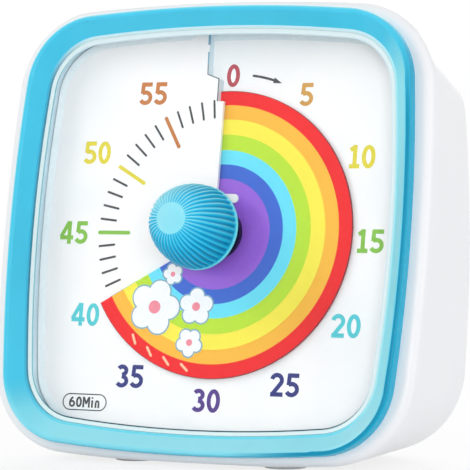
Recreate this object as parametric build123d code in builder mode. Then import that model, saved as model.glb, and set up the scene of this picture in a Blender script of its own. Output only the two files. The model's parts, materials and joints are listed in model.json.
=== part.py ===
"""Visual countdown timer: a rounded square case on a flat base, with its face tilted back.

A rainbow disc is wiped through a slit in the dial as the knob turns, and a quartz movement
runs it back to zero. Lengths are in millimetres. +Z is up, the face looks towards -Y, and
the origin is on the table under the middle of the whole part.

Most pieces are placed in the face's own frame: x to the right, y up along the face, and
h outwards along the knob's axis from the printed level of the dial.
"""

import os
from math import atan2, cos, degrees, radians, sin

from build123d import *

os.makedirs("parts", exist_ok=True)

# ---- case -------------------------------------------------------------------------------
face_tilt = 9.5  # degrees that the face leans back
case_half_width = 45.5  # at the front lip
case_half_height = 44.8
case_corner = 16.8
case_bulge = 2.2  # how far each side bows out between its corners
lip_height = 5.6  # front of the case above the printed level of the dial
lip_round = 1.7
wall = 2.2
front_wall = 2.4
back_taper_x = 3.6  # how much less the half width is at the back
back_taper_y = 3.9
back_corner = 17.0
back_round = 3.6
foot_radius = 4.2
foot_proud = 0.8  # how far a foot stands out of the base
base_cut = 0.6  # how much of the bowed underside the flat base takes away at the back
lip_cut = 0.36  # and under the front lip
foot_inset = 0.9  # depth of the recess that holds it
foot_chamfer = 0.3
foot_x = 16.0
foot_front = -7.0
foot_rear = 14.0

# ---- bezel and lens -----------------------------------------------------------------------
bezel_bulge = 2.5  # bow of the bezel's sides and of what lies behind it
lip_width_x = 3.3  # case edge to bezel, at the sides
lip_width_y = 1.7  # and at top and bottom
bezel_corner = 14.4
crest_inset_x = 1.0  # bezel's outer edge to its crest
crest_inset_y = 0.9
crest_corner_inset = 1.2
crest_rise = 2.5  # crest in front of the lip
sight_inset_x = 3.7  # bezel's outer edge to its inner edge
sight_inset_y = 3.9
sight_corner_inset = 3.2
sight_drop = 0.4  # inner edge behind the lip
bezel_round = 0.55
opening_inset = 1.6  # case opening inside the bezel's outer edge
skirt_clearance = 0.15
lens_clearance = 0.1
lens_thickness = 1.7
lens_recess = 0.3  # front of the lens behind the bezel's inner edge
lens_chamfer = 0.6
flange_thickness = 0.9
flange_step = 1.5  # how far the lens flange reaches past its raised field
gasket_thickness = 0.5
lens_hole_clearance = 1.0

# ---- dial and disc ------------------------------------------------------------------------
disc_radius = 28.0
disc_thickness = 0.4
dial_thickness = 0.8
wipe_pitch = 2.0  # rise of the dial and of the disc over one turn
printed_share = 0.83  # share of the pitch at which the dial has its printed level
dial_clearance = 0.25  # dial edge to frame rim
dial_hole_margin = 1.55  # round the disc's collar
disc_collar_wall = 0.6
disc_collar_margin = 0.4  # collar past the disc's own rise, at both ends
slit_shift = 0.75  # raised edge of the slit left of the dial's upright line
slit_step_inset = 2.2  # inside the disc's edge, where that edge steps outwards
slit_step_shift = 2.0
slit_jog_reach = 2.2  # outside the disc's edge, where it leans over to the far end of the slit
slit_jog_rise = 0.9
slit_jog_shift = 4.5
slit_end_shift = 5.2  # at the top of the dial
slit_wall = 0.6  # wall that closes the slit outside the disc
slit_wall_reach = 0.6  # outside the disc's edge, where that wall starts
rest_minutes = 40.0  # the disc's leading edge at rest
dial_peg_inset = 4.05  # from the dial's side edge
dial_peg_y = 15.0
dial_peg_radius = 1.5

# ---- dial frame ---------------------------------------------------------------------------
frame_depth = 2.24  # front of the frame's floor behind the dial's lowest printed level
frame_floor = 1.6
frame_rim = 1.2
frame_bore_clearance = 1.2  # round the hub
frame_screw_inset_x = 7.3  # from the frame's edge
frame_screw_inset_y = 8.0
post_reach = 7.0  # how far the case posts run back behind the frame
post_size = 8.0
post_wall = 1.9

# ---- knob and shaft -----------------------------------------------------------------------
knob_radius = 8.2
knob_base = 7.7
knob_waist_height = 9.2  # where the dome is widest
knob_shoulder_radius = 6.5
knob_shoulder_height = 16.8
knob_front_radius = 3.0
knob_front_height = 20.0
knob_front_slope = 0.12  # rise of the dome's edge per length towards its front disc
knob_chamfer = 0.5
knob_wall = 1.6
knob_socket_radius = 3.4
shaft_radius = 1.5
shaft_flat = 0.4
shaft_front = 16.0
shaft_step = 0.5  # radius of the shoulder over the shaft, and of the shaft over its pivot
shoulder_thickness = 0.3
socket_space = 0.1  # between the shaft's end and the bottom of the knob's socket
hub_radius = 4.4  # white hub between shaft and disc, up through the lens hole
hub_flange_lip = 0.4
hub_flange_height = 1.9
hub_flange_thickness = 0.5
hub_clearance = 0.3  # back of the hub to the front of the frame
hub_tab_x = 4.9  # far end of the hub's key tab at rest
hub_tab_y = 6.5
hub_tab_length = 3.4
hub_tab_width = 1.7
hub_neck_x = 2.8  # neck between the flange and the tab
spline_count = 3
spline_width = 1.3
spline_depth = 0.6
spline_clearance = 0.1
running_clearance = 0.05
cut_margin = 0.2  # how far a cut runs past what it cuts

# ---- movement -----------------------------------------------------------------------------
gear_module = 0.25
gear_thickness = 0.7
pinion_length = 1.1
tooth_addendum = 0.85  # in modules
tooth_dedendum = 1.15
tooth_root_share = 0.28  # half widths of a tooth in pitches
tooth_tip_share = 0.10
wheel_gap = 0.7  # between wheels on neighbouring levels
wheel_clearance = 0.3  # cam to plate and to the output wheel
wheel_holes = 4
wheel_hole_share = 0.25  # hole radius and place in pitch radii
wheel_hole_place = 0.59
output_holes = 5
output_hole_radius = 1.5
output_hole_place = 5.6
movement_margin = 0.4  # second wheel to the wall above it
stator_margin = 0.6  # stator to the wall below it
coil_margin_x = 0.3  # coil to the wall beside it
board_margin = 0.1  # motor board to the wall beside it
movement_corner = 2.0
movement_wall = 1.2
movement_gap = 6.0  # between the two movement plates
movement_lug = 4.4
movement_lug_spacing = 12.0
lug_overlap = 0.4
pivot_radius = 0.35
pivot_space = 0.1  # beyond the end of a pivot
arbor_radius = 0.5
arbor_play = 0.15  # arbor shoulder to plate
output_teeth = 72
third_wheel_teeth = 60
second_wheel_teeth = 48
first_wheel_teeth = 40
pinion_teeth = 8
rotor_teeth = 9
third_direction = 127.0  # degrees, direction from each arbor to the next
second_direction = 25.0
first_direction = 0.0
rotor_direction = -45.0
rotor_radius = 2.6
rotor_thickness = 1.3
air_gap = 0.4
stator_depth = 1.55  # stator's middle behind the front plate
stator_thickness = 0.8
stator_width = 4.4
stator_top = 13.6
stator_bottom = -12.0
stator_arm = 2.6
stator_ring = 4.6  # radius of the stator around the rotor
coil_offset = 0.18  # coil to the stator's ring
coil_flange = 0.8
coil_radius = 2.3
coil_flange_radius = 2.6
coil_tube_radius = 1.5
coil_margin = 1.7  # bobbin end to stator arm
coil_clearance = 0.45  # bobbin to front plate
core_width = 1.6
core_thickness = 1.2
post_radius = 1.1
motor_board_x = -17.0
motor_board_y = 1.0
motor_board_width = 5.4
motor_board_height = 18.0
motor_board_thickness = 0.8
motor_post_inset = 1.6  # post centre to the end of the board
driver_chip_radius = 2.2
driver_chip_height = 0.9
driver_chip_rise = 2.4  # above the middle of the board
crystal_radius = 1.0
crystal_length = 4.6
crystal_drop = 1.5
cam_radius = 3.6
cam_thickness = 0.9
cam_notch = 1.6
leaf_left = -7.5
leaf_length = 9.0
leaf_thickness = 0.25
leaf_gap = 0.2  # leaf to cam
leaf_margin = 0.1  # leaf narrower than the cam on each side
leaf_foot_length = 0.8
leaf_foot_height = 1.6
clutch_radius = 4.2
clutch_thickness = 0.3
clutch_play = 0.1
clutch_windows = 3
clutch_window_place = 2.9
clutch_window_length = 1.5
clutch_window_width = 0.8

# ---- battery, board and rear cover -------------------------------------------------------
cell_radius = 7.25
cell_length = 49.5
cell_round = 0.6
cell_nub_radius = 2.7
cell_nub_length = 1.0
spring_length = 4.5
spring_wire = 0.6
spring_radius = 4.2
spring_turns = 3.5
contact_thickness = 0.5
contact_size = 9.0
tray_wall = 1.2
tray_clearance = 0.5
tray_lift = 0.6  # tray to the movement above it
tray_gap = 0.33  # tray to the posts in front of it
tray_side_gap = 0.4  # tray to the edges of the way through the back
cover_inset_x = 5.1  # from the edge of the case's back
cover_inset_y = 4.9
cover_corner_inset = 6.0
cover_thickness = 2.0
cover_ledge = 1.6  # width and depth of the step that the cover sits on
cover_clearance = 0.15
cover_screw_inset = 4.3  # from the cover's side edge
cover_screw_drop = 12.0  # upper screws, from the cover's top edge
cover_screw_lift = 0.4  # posts of the lower screws to the tray below them
door_thickness = 1.6
door_ledge = 1.0
door_surround = 1.2  # cover left round the door and its pins
door_clearance = 0.2
door_seat = 0.1  # space between the shut door and its ledge
door_pin_radius = 0.45
door_pin_length = 0.9
door_pin_space = 0.1  # beyond the end of a pin
door_grip_ribs = 5
door_grip_pitch = 1.4
door_grip_width = 12.0
door_grip_depth = 0.3
door_grip_drop = 5.0  # middle of the grip below the door's top edge
board_thickness = 1.2
board_height = 17.0
board_drop = 11.5  # middle of the board below the cover's top edge
board_gap = 4.0  # board to rear cover
board_screw_x = 19.5
board_screw_inset = 3.5  # from the board's end
buzzer_radius = 6.0
buzzer_height = 3.4
buzzer_port_radius = 1.2
buzzer_port_depth = 1.0
sound_chip_length = 7.5
sound_chip_width = 5.0
sound_chip_corner = 0.4
sound_chip_height = 1.4
grille_slots = 5
grille_pitch = 2.0
grille_length = 9.0
grille_width = 1.0
switch_x = 1.5
switch_spacing = 9.7
switch_length = 8.4
switch_width = 3.6
switch_height = 3.0
switch_floor = 1.2
slider_length = 2.0
slider_width = 1.5
slider_travel = 1.8  # each way from the middle
slider_inset = 0.2  # slider's tip below the cover's face
slider_play = 0.1  # under the slider
slider_side_gap = 0.2  # in the cover's slot
screw_radius = 1.0
screw_head_radius = 1.9
screw_head_height = 1.1
screw_slot_length = 2.2
screw_slot_width = 0.4
screw_slot_depth = 0.6
screw_length = 6.0
screw_tip_space = 0.5  # beyond the tip of a long screw
short_tip_space = 0.1
blind_floor = 0.3  # left under a screw hole that doesn't go through
head_clearance = 0.2

# ---- places worked out from the sizes ------------------------------------------------------
def at(direction, distance, start=(0.0, 0.0)):
    """The point at a distance, and a direction in degrees, from another point."""
    return (
        start[0] + distance * cos(radians(direction)),
        start[1] + distance * sin(radians(direction)),
    )


def mesh_distance(wheel_teeth, small_teeth):
    """Distance between the arbors of a wheel and the pinion in mesh with it."""
    return gear_module * (wheel_teeth + small_teeth) / 2


tilt = radians(face_tilt)
# front, from the case's edge inwards
bezel_half_width = case_half_width - lip_width_x
bezel_half_height = case_half_height - lip_width_y
crest_half_width = bezel_half_width - crest_inset_x
crest_half_height = bezel_half_height - crest_inset_y
crest_corner = bezel_corner - crest_corner_inset
crest_height = lip_height + crest_rise
sight_half_width = bezel_half_width - sight_inset_x
sight_half_height = bezel_half_height - sight_inset_y
sight_corner = bezel_corner - sight_corner_inset
sight_height = lip_height - sight_drop
opening_half_width = bezel_half_width - opening_inset
opening_half_height = bezel_half_height - opening_inset
opening_corner = bezel_corner - opening_inset / 2
lens_front = sight_height - lens_recess
lens_back = lens_front - lens_thickness
lens_hole_radius = hub_radius + lens_hole_clearance
flange_half_width = sight_half_width - lens_clearance + flange_step
flange_half_height = sight_half_height - lens_clearance + flange_step
flange_corner = sight_corner + flange_step / 2
flange_front = lens_back + flange_thickness
rim_front = lens_back - gasket_thickness
# dial, disc and frame
dial_low = -printed_share * wipe_pitch  # top of the dial just right of the slit
dial_high = dial_low + wipe_pitch  # top of the dial just left of the slit
dial_disc_gap = (wipe_pitch - dial_thickness - disc_thickness) / 2
dial_half_width = flange_half_width - frame_rim - dial_clearance
dial_half_height = flange_half_height - frame_rim - dial_clearance
dial_corner = flange_corner - frame_rim / 2
dial_peg_x = dial_half_width - dial_peg_inset
collar_inner = hub_radius + running_clearance
disc_hole_radius = collar_inner + disc_collar_wall
dial_hole_radius = disc_hole_radius + dial_hole_margin
slit_step = disc_radius - slit_step_inset
slit_jog = disc_radius + slit_jog_reach
frame_front = dial_low - frame_depth
frame_back = frame_front - frame_floor
frame_screw_x = flange_half_width - frame_screw_inset_x
frame_screw_y = flange_half_height - frame_screw_inset_y
# movement
third_arbor = at(third_direction, mesh_distance(output_teeth, pinion_teeth))
second_arbor = at(second_direction, mesh_distance(third_wheel_teeth, pinion_teeth), third_arbor)
first_arbor = at(first_direction, mesh_distance(second_wheel_teeth, pinion_teeth), second_arbor)
rotor_arbor = at(rotor_direction, mesh_distance(first_wheel_teeth, rotor_teeth), first_arbor)
arbors = [third_arbor, second_arbor, first_arbor, rotor_arbor]
coil_x = rotor_arbor[0] + stator_ring + coil_offset + coil_flange_radius
movement_left = motor_board_x - motor_board_width / 2 - board_margin - movement_wall
movement_right = coil_x + coil_flange_radius + coil_margin_x + movement_wall
movement_bottom = stator_bottom - stator_margin - movement_wall
second_wheel_top = second_arbor[1] + gear_module * (second_wheel_teeth / 2 + tooth_addendum)
movement_top = second_wheel_top + movement_margin + movement_wall
movement_inside = frame_back - movement_wall
movement_rear = movement_inside - movement_gap
level_cam = movement_inside - wheel_clearance  # front of the cam
level_output = level_cam - cam_thickness - wheel_clearance - gear_thickness / 2
level_third = level_output - gear_thickness - wheel_gap
level_second = level_third - gear_thickness - wheel_gap
level_stator = movement_inside - stator_depth
coil_level = movement_inside - coil_flange_radius - coil_clearance
# depth: the battery tray lies between the back and the posts behind the dial frame
tray_depth = 2 * cell_radius + tray_clearance
tray_height = 2 * cell_radius + tray_clearance
tray_half_length = (cell_length + cell_nub_length + spring_length) / 2 + contact_thickness
tray_floor = door_thickness + door_seat + tray_depth
post_end = (post_reach - frame_back) * cos(tilt) - (frame_screw_y - post_size) * sin(tilt)
back_depth = post_end + tray_gap + tray_wall + tray_floor
knob_reach = knob_front_height * cos(tilt) + knob_front_radius * sin(tilt)
dial_centre_y = (knob_reach - back_depth) / 2
dial_centre_height = foot_proud - lip_cut + case_half_height * cos(tilt) - lip_height * sin(tilt)
face = Plane(
    origin=(0, dial_centre_y, dial_centre_height), x_dir=(1, 0, 0), z_dir=(0, -cos(tilt), sin(tilt))
)
outward = Axis(face.origin, face.z_dir)
# back, cover and tray
back_half_width = case_half_width - back_taper_x
back_half_height = case_half_height - back_taper_y
back_y = dial_centre_y + back_depth
back_centre_height = foot_proud + back_half_height - base_cut
back = Plane(origin=(0, back_y, back_centre_height), x_dir=(1, 0, 0), z_dir=(0, -1, 0))
cover_half_width = back_half_width - cover_inset_x
cover_half_height = back_half_height - cover_inset_y
cover_corner = back_corner - cover_corner_inset
cover_inside = cover_thickness + cover_ledge  # depth of the case's back wall
movement_low = dial_centre_height + movement_bottom * cos(tilt) + (movement_rear - movement_wall) * sin(tilt)
tray_bottom = movement_low - tray_lift - tray_wall - tray_height
tray_middle = tray_bottom + tray_height / 2 - back_centre_height  # above the back's centre
cell_depth = door_thickness + door_seat + tray_clearance / 2 + cell_radius
door_half_length = tray_half_length + door_ledge - door_clearance
door_pin_reach = door_half_length + door_pin_length
door_bottom = tray_middle - tray_height / 2 - door_ledge + door_clearance
door_top = tray_middle + tray_height / 2 + door_ledge - door_clearance
cover_screw_x = cover_half_width - cover_screw_inset
cover_screw_low = tray_middle + tray_height / 2 + tray_wall + cover_screw_lift + post_size / 2
cover_screw_high = cover_half_height - cover_screw_drop
rear_post_inner = cover_screw_x - post_wall - screw_radius
rear_post_width = back_half_width - rear_post_inner
rear_post_middle = rear_post_inner + rear_post_width / 2
board_depth = cover_thickness + board_gap
board_rise = cover_half_height - board_drop
board_width = 2 * (board_screw_x + board_screw_inset)
buzzer_x = -board_screw_x / 2
stem_slot = slider_length + 2 * slider_travel + 2 * running_clearance
# places of what repeats
frame_screws = [(x, y) for x in (-frame_screw_x, frame_screw_x) for y in (-frame_screw_y, frame_screw_y)]
slit_edge = [
    (-slit_shift, 0),
    (-slit_shift, slit_step),
    (-slit_step_shift, slit_step),
    (-slit_step_shift, slit_jog),
    (-slit_jog_shift, slit_jog + slit_jog_rise),
    (-slit_end_shift, 2 * disc_radius),
]
slit_wall_line = [(-slit_step_shift, disc_radius + slit_wall_reach), *slit_edge[3:]]
dial_pegs = [(x, y) for x in (-dial_peg_x, dial_peg_x) for y in (-dial_peg_y, dial_peg_y)]
cover_screws = [(x, y) for x in (-cover_screw_x, cover_screw_x) for y in (cover_screw_low, cover_screw_high)]
feet = [(x, y) for x in (-foot_x, foot_x) for y in (foot_front, foot_rear)]
lug_y = (movement_bottom + movement_top) / 2
movement_lugs = [
    (movement_left - movement_lug / 2, lug_y - movement_lug_spacing),
    (movement_left - movement_lug / 2, lug_y + movement_lug_spacing),
    (movement_right + movement_lug / 2, lug_y),
]
stator_posts = [
    (rotor_arbor[0], stator_bottom + stator_arm / 2),
    (rotor_arbor[0], stator_top - stator_arm / 2),
]
board_posts = [
    (motor_board_x, motor_board_y + side * (motor_board_height / 2 - motor_post_inset)) for side in (-1, 1)
]
board_screws = [(-board_screw_x, board_rise), (board_screw_x, board_rise)]
switch_places = [(switch_x, board_rise), (switch_x + switch_spacing, board_rise)]


def keep(builder, name):
    """Label a finished piece and write it to its own file."""
    builder.part.label = name
    export_step(builder.part, f"parts/{name}.step")


def outline(plane, half_width, half_height, corner, bulge=bezel_bulge):
    """A square with bowed sides and round corners, drawn on a plane."""
    corner_x = half_width - bulge
    corner_y = half_height - bulge
    with BuildSketch(plane) as drawn:
        with BuildLine():
            ThreePointArc((-corner_x, -corner_y), (0, -half_height), (corner_x, -corner_y))
            ThreePointArc((corner_x, -corner_y), (half_width, 0), (corner_x, corner_y))
            ThreePointArc((corner_x, corner_y), (0, half_height), (-corner_x, corner_y))
            ThreePointArc((-corner_x, corner_y), (-half_width, 0), (-corner_x, -corner_y))
        make_face()
        fillet(drawn.vertices(), corner)
    return drawn.sketch


def flange_outline(height, inset=0.0):
    """The outline that lens flange, gasket and frame share, moved inwards by an inset."""
    return outline(
        face.offset(height),
        flange_half_width - inset,
        flange_half_height - inset,
        flange_corner - inset / 2,
    )


def gear_outline(teeth, turn):
    """Corners of a gear with straight-flanked teeth and its first tooth at an angle in degrees."""
    pitch_radius = gear_module * teeth / 2
    tip = pitch_radius + tooth_addendum * gear_module
    root = pitch_radius - tooth_dedendum * gear_module
    flank = ((root, -tooth_root_share), (tip, -tooth_tip_share), (tip, tooth_tip_share), (root, tooth_root_share))
    step = 360 / teeth
    corners = []
    for tooth in range(teeth):
        for radius, share in flank:
            corners.append(at(turn + (tooth + share) * step, radius))
    return corners


def dial_top(minutes):
    """Height of the dial's printed surface at a place given in minutes."""
    return dial_low + wipe_pitch * minutes / 60


def minutes_at(x, y):
    """The minute mark that a point of the face lies under."""
    return degrees(atan2(x, y)) % 360 / 6


def minute_plane(minutes, height):
    """The face's plane at a height, turned so that its x axis points at a minute mark."""
    direction = radians(90 - 6 * minutes)
    x_axis = face.x_dir * cos(direction) + face.y_dir * sin(direction)
    return Plane(origin=face.offset(height).origin, x_dir=x_axis, z_dir=face.z_dir)


def helical_sheet(start_minutes, start_height, inner_radius, outer_radius, thickness):
    """One clockwise turn of a sheet that rises by the wipe pitch, from a minute mark on."""
    middle_radius = (inner_radius + outer_radius) / 2
    with BuildPart() as sheet:
        with BuildLine():
            Helix(pitch=wipe_pitch, height=wipe_pitch, radius=middle_radius, lefthand=True)
        with BuildSketch(Plane.XZ):
            with Locations((middle_radius, 0)):
                Rectangle(outer_radius - inner_radius, thickness)
        sweep(is_frenet=True)
    return minute_plane(start_minutes, start_height) * sheet.part


def cover_plate(margin=0.0):
    """The rear cover's plate with a margin, never nearer to the door and its pins than its surround."""
    with BuildPart() as plate:
        edge = outline(
            back, cover_half_width + margin, cover_half_height + margin, cover_corner + margin, case_bulge
        )
        extrude(edge, amount=cover_thickness)
        with BuildSketch(back):
            with Locations((0, (door_bottom + door_top) / 2)):
                Rectangle(
                    2 * (door_pin_reach + door_surround + margin),
                    door_top - door_bottom + 2 * (door_surround + margin),
                )
        extrude(amount=cover_thickness)
    return plate.part


def case_cavity():
    """The space inside the case, from the lip's inner side to the back wall."""
    with BuildPart() as cavity:
        front_edge = outline(
            face.offset(lip_height - front_wall),
            case_half_width - wall,
            case_half_height - wall,
            case_corner - wall / 2,
            case_bulge,
        )
        back_edge = outline(
            back.offset(cover_inside),
            back_half_width - wall,
            back_half_height - wall,
            back_corner - wall / 2,
            case_bulge,
        )
        loft([front_edge, back_edge])
        split(bisect_by=Plane.XY.offset(foot_proud + wall), keep=Keep.TOP)
    return cavity.part


def screws(plane, places, length, side=1):
    """Cross-head screws with their heads seated on a plane: side 1 has the heads in front of it."""
    with BuildPart() as group:
        with BuildSketch(plane):
            with Locations(*places):
                Circle(screw_head_radius)
        extrude(amount=side * screw_head_height)
        with BuildSketch(plane):
            with Locations(*places):
                Circle(screw_radius)
        extrude(amount=-side * length)
        with BuildSketch(plane.offset(side * screw_head_height)):
            with Locations(*places):
                Rectangle(screw_slot_length, screw_slot_width)
                Rectangle(screw_slot_width, screw_slot_length)
        extrude(amount=-side * screw_slot_depth, mode=Mode.SUBTRACT)
    return group


# ---- case ----------------------------------------------------------------------------------
with BuildPart() as housing:
    lip_edge = outline(face.offset(lip_height), case_half_width, case_half_height, case_corner, case_bulge)
    loft([lip_edge, outline(back, back_half_width, back_half_height, back_corner, case_bulge)])
    fillet(housing.faces().sort_by(Axis.Y)[-1].edges(), back_round)
    fillet(housing.faces().sort_by(outward)[-1].edges(), lip_round)
    split(bisect_by=Plane.XY.offset(foot_proud), keep=Keep.TOP)
    add(case_cavity(), mode=Mode.SUBTRACT)
    # corner posts that carry the dial frame in front and the rear cover behind
    with BuildPart(mode=Mode.PRIVATE) as posts:
        with BuildSketch(face.offset(frame_back)):
            with Locations(*frame_screws):
                Rectangle(post_size * 2, post_size * 2)
        extrude(amount=-post_reach)
        with BuildSketch(back.offset(cover_thickness)):
            for side in (-1, 1):
                with Locations(*[(side * rear_post_middle, y) for y in (cover_screw_low, cover_screw_high)]):
                    Rectangle(rear_post_width, post_size)
        extrude(amount=post_reach)
    inside_posts = posts.part & case_cavity()
    add(inside_posts)
    # openings for the bezel and lens in front and for the cover behind
    extrude(
        outline(face.offset(lip_height), opening_half_width, opening_half_height, opening_corner),
        amount=frame_back - lip_height,
        mode=Mode.SUBTRACT,
    )
    add(cover_plate(cover_clearance), mode=Mode.SUBTRACT)
    cover_way = outline(
        back,
        cover_half_width - cover_ledge,
        cover_half_height - cover_ledge,
        cover_corner - cover_ledge / 2,
        case_bulge,
    )
    with BuildPart(mode=Mode.PRIVATE) as way:
        extrude(cover_way, amount=cover_inside)
        with BuildSketch(back):
            with Locations((0, tray_middle)):
                Rectangle(
                    2 * (tray_half_length + tray_wall + tray_side_gap),
                    tray_height + 2 * (tray_wall + tray_side_gap),
                )
        extrude(amount=cover_inside)
    add(way.part - inside_posts, mode=Mode.SUBTRACT)
    # screw holes and foot recesses
    with Locations(*[face.offset(frame_back).location * Location((x, y)) for x, y in frame_screws]):
        Hole(screw_radius, depth=screw_length - frame_floor + screw_tip_space)
    with BuildSketch(back.offset(cover_thickness)):
        with Locations(*cover_screws):
            Circle(screw_radius)
    extrude(amount=screw_length - cover_thickness + screw_tip_space, mode=Mode.SUBTRACT)
    with BuildSketch(Plane.XY.offset(foot_proud)):
        with Locations(*feet):
            Circle(foot_radius)
    extrude(amount=foot_inset, mode=Mode.SUBTRACT)
keep(housing, "housing")

with BuildPart() as foot_pads:
    with BuildSketch():
        with Locations(*feet):
            Circle(foot_radius)
    extrude(amount=foot_proud + foot_inset)
    chamfer(foot_pads.faces().filter_by(Plane.XY).group_by(Axis.Z)[0].edges(), foot_chamfer)
keep(foot_pads, "foot_pads")

# ---- bezel, lens and gasket ------------------------------------------------------------------
with BuildPart() as front_bezel:
    extrude(
        outline(face.offset(lip_height), bezel_half_width, bezel_half_height, bezel_corner),
        amount=crest_height - lip_height,
    )
    sight_edge = outline(face.offset(sight_height), sight_half_width, sight_half_height, sight_corner)
    crest_edge = outline(face.offset(crest_height), crest_half_width, crest_half_height, crest_corner)
    with BuildPart(mode=Mode.PRIVATE) as funnel:
        loft([sight_edge, crest_edge])
    add(funnel.part, mode=Mode.SUBTRACT)
    fillet(front_bezel.faces().sort_by(outward)[-1].edges(), bezel_round)
    skirt = outline(
        face.offset(lip_height),
        opening_half_width - skirt_clearance,
        opening_half_height - skirt_clearance,
        opening_corner - skirt_clearance,
    )
    extrude(skirt, amount=flange_front - lip_height)
    extrude(sight_edge, amount=flange_front - sight_height, mode=Mode.SUBTRACT)
    extrude(sight_edge, amount=lip_height - sight_height, mode=Mode.SUBTRACT)
keep(front_bezel, "front_bezel")

with BuildPart() as lens:
    extrude(flange_outline(lens_back), amount=flange_thickness)
    field = outline(
        face.offset(lens_back),
        sight_half_width - lens_clearance,
        sight_half_height - lens_clearance,
        sight_corner,
    )
    extrude(field, amount=lens_thickness)
    chamfer(lens.faces().sort_by(outward)[-1].edges(), lens_chamfer)
    with Locations(face.offset(lens_front).location):
        Hole(lens_hole_radius)
keep(lens, "lens")

with BuildPart() as lens_gasket:
    extrude(flange_outline(rim_front), amount=gasket_thickness)
    extrude(flange_outline(rim_front, frame_rim), amount=gasket_thickness, mode=Mode.SUBTRACT)
keep(lens_gasket, "lens_gasket")

# ---- dial and the frame behind it --------------------------------------------------------------
with BuildPart() as dial_plate:
    add(helical_sheet(0, dial_low - dial_thickness / 2, dial_hole_radius, 2 * disc_radius, dial_thickness))
    # the raised edge of the slit is cut back along its stepped line
    with BuildSketch(face.offset(dial_high - dial_thickness - cut_margin)):
        Polygon(*slit_edge, (0, 2 * disc_radius), (0, 0), align=None)
    extrude(amount=dial_thickness + 2 * cut_margin, mode=Mode.SUBTRACT)
    # the low side runs on to the left under that edge
    with BuildSketch(face.offset(dial_low - dial_thickness)):
        Polygon(
            *[(x - slit_wall, y) for x, y in slit_edge],
            (cut_margin, 2 * disc_radius),
            (cut_margin, dial_hole_radius),
            align=None,
        )
        Circle(dial_hole_radius, mode=Mode.SUBTRACT)
    extrude(amount=dial_thickness)
    # outside the disc a wall joins the two sides
    with BuildSketch(face.offset(dial_low - dial_thickness)):
        Polygon(*slit_wall_line, *[(x - slit_wall, y - slit_wall) for x, y in reversed(slit_wall_line)], align=None)
    extrude(amount=dial_high - dial_low + dial_thickness - cut_margin)
    extrude(
        outline(face.offset(dial_low - 2 * dial_thickness), dial_half_width, dial_half_height, dial_corner),
        amount=2 * wipe_pitch + 2 * dial_thickness,
        mode=Mode.INTERSECT,
    )
    for peg_x, peg_y in dial_pegs:
        peg_top = dial_top(minutes_at(peg_x, peg_y)) - dial_thickness / 2
        with BuildSketch(face.offset(frame_front)):
            with Locations((peg_x, peg_y)):
                Circle(dial_peg_radius)
        extrude(amount=peg_top - frame_front)
keep(dial_plate, "dial_plate")

with BuildPart() as dial_frame:
    extrude(flange_outline(frame_back), amount=rim_front - frame_back)
    extrude(flange_outline(frame_front, frame_rim), amount=rim_front - frame_front, mode=Mode.SUBTRACT)
    with Locations(face.offset(frame_front).location):
        Hole(hub_radius + frame_bore_clearance)
    with BuildSketch(face.offset(frame_front)):
        with Locations(*frame_screws):
            Circle(screw_radius + running_clearance)
    extrude(amount=-frame_floor, mode=Mode.SUBTRACT)
    with BuildSketch(face.offset(frame_back)):
        with Locations(*movement_lugs):
            Circle(screw_radius)
    extrude(amount=frame_floor - blind_floor, mode=Mode.SUBTRACT)
keep(dial_frame, "dial_frame")
keep(screws(face.offset(frame_front), frame_screws, screw_length), "frame_screws")

# ---- disc and its collar -------------------------------------------------------------------------
disc_start = dial_top(rest_minutes) - dial_thickness - dial_disc_gap - disc_thickness / 2
with BuildPart() as rainbow_disc:
    add(helical_sheet(rest_minutes, disc_start, disc_hole_radius, disc_radius, disc_thickness))
keep(rainbow_disc, "rainbow_disc")

collar_back = disc_start - disc_thickness / 2 - disc_collar_margin
collar_height = wipe_pitch + disc_thickness + 2 * disc_collar_margin
with BuildPart() as disc_collar:
    with BuildSketch(face.offset(collar_back)):
        Circle(disc_hole_radius)
        Circle(collar_inner, mode=Mode.SUBTRACT)
        with PolarLocations(hub_radius - spline_depth / 2 + spline_clearance / 2, spline_count):
            Rectangle(spline_depth + 2 * spline_clearance, spline_width)
    extrude(amount=collar_height)
keep(disc_collar, "disc_collar")

# ---- hub, shaft and knob ---------------------------------------------------------------------------
with BuildPart() as disc_hub:
    with BuildSketch(face.offset(frame_front + hub_clearance)):
        Circle(hub_radius)
        Circle(shaft_radius, mode=Mode.SUBTRACT)
        with PolarLocations(hub_radius - spline_depth / 2, spline_count):
            Rectangle(
                spline_depth + 2 * spline_clearance, spline_width + 2 * spline_clearance, mode=Mode.SUBTRACT
            )
    extrude(amount=knob_base - frame_front - hub_clearance)
    with BuildSketch(face.offset(hub_flange_height)):
        Circle(hub_radius + hub_flange_lip)
        with Locations((hub_tab_x - hub_tab_length / 2, hub_tab_y)):
            SlotOverall(hub_tab_length, hub_tab_width)
        with Locations((hub_neck_x, 0)):
            Rectangle(hub_tab_width, hub_tab_y, align=(Align.CENTER, Align.MIN))
        Circle(shaft_radius, mode=Mode.SUBTRACT)
    extrude(amount=hub_flange_thickness)
keep(disc_hub, "disc_hub")

with BuildPart() as output_shaft:
    with BuildSketch(face.offset(movement_rear)):
        Circle(shaft_radius)
    extrude(amount=shaft_front - movement_rear)
    # rear pivot, and the shoulder behind the clutch washer
    with BuildSketch(face.offset(movement_rear)):
        Circle(shaft_radius - shaft_step)
    extrude(amount=-movement_wall / 2)
    with BuildSketch(face.offset(level_output - gear_thickness / 2 - clutch_thickness - clutch_play)):
        Circle(shaft_radius + shaft_step)
    extrude(amount=-shoulder_thickness)
    # flat under the knob
    with BuildSketch(face.offset(knob_base)):
        with Locations((0, shaft_radius)):
            Rectangle(2 * shaft_radius, 2 * shaft_flat)
    extrude(amount=shaft_front - knob_base, mode=Mode.SUBTRACT)
keep(output_shaft, "output_shaft")

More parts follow.
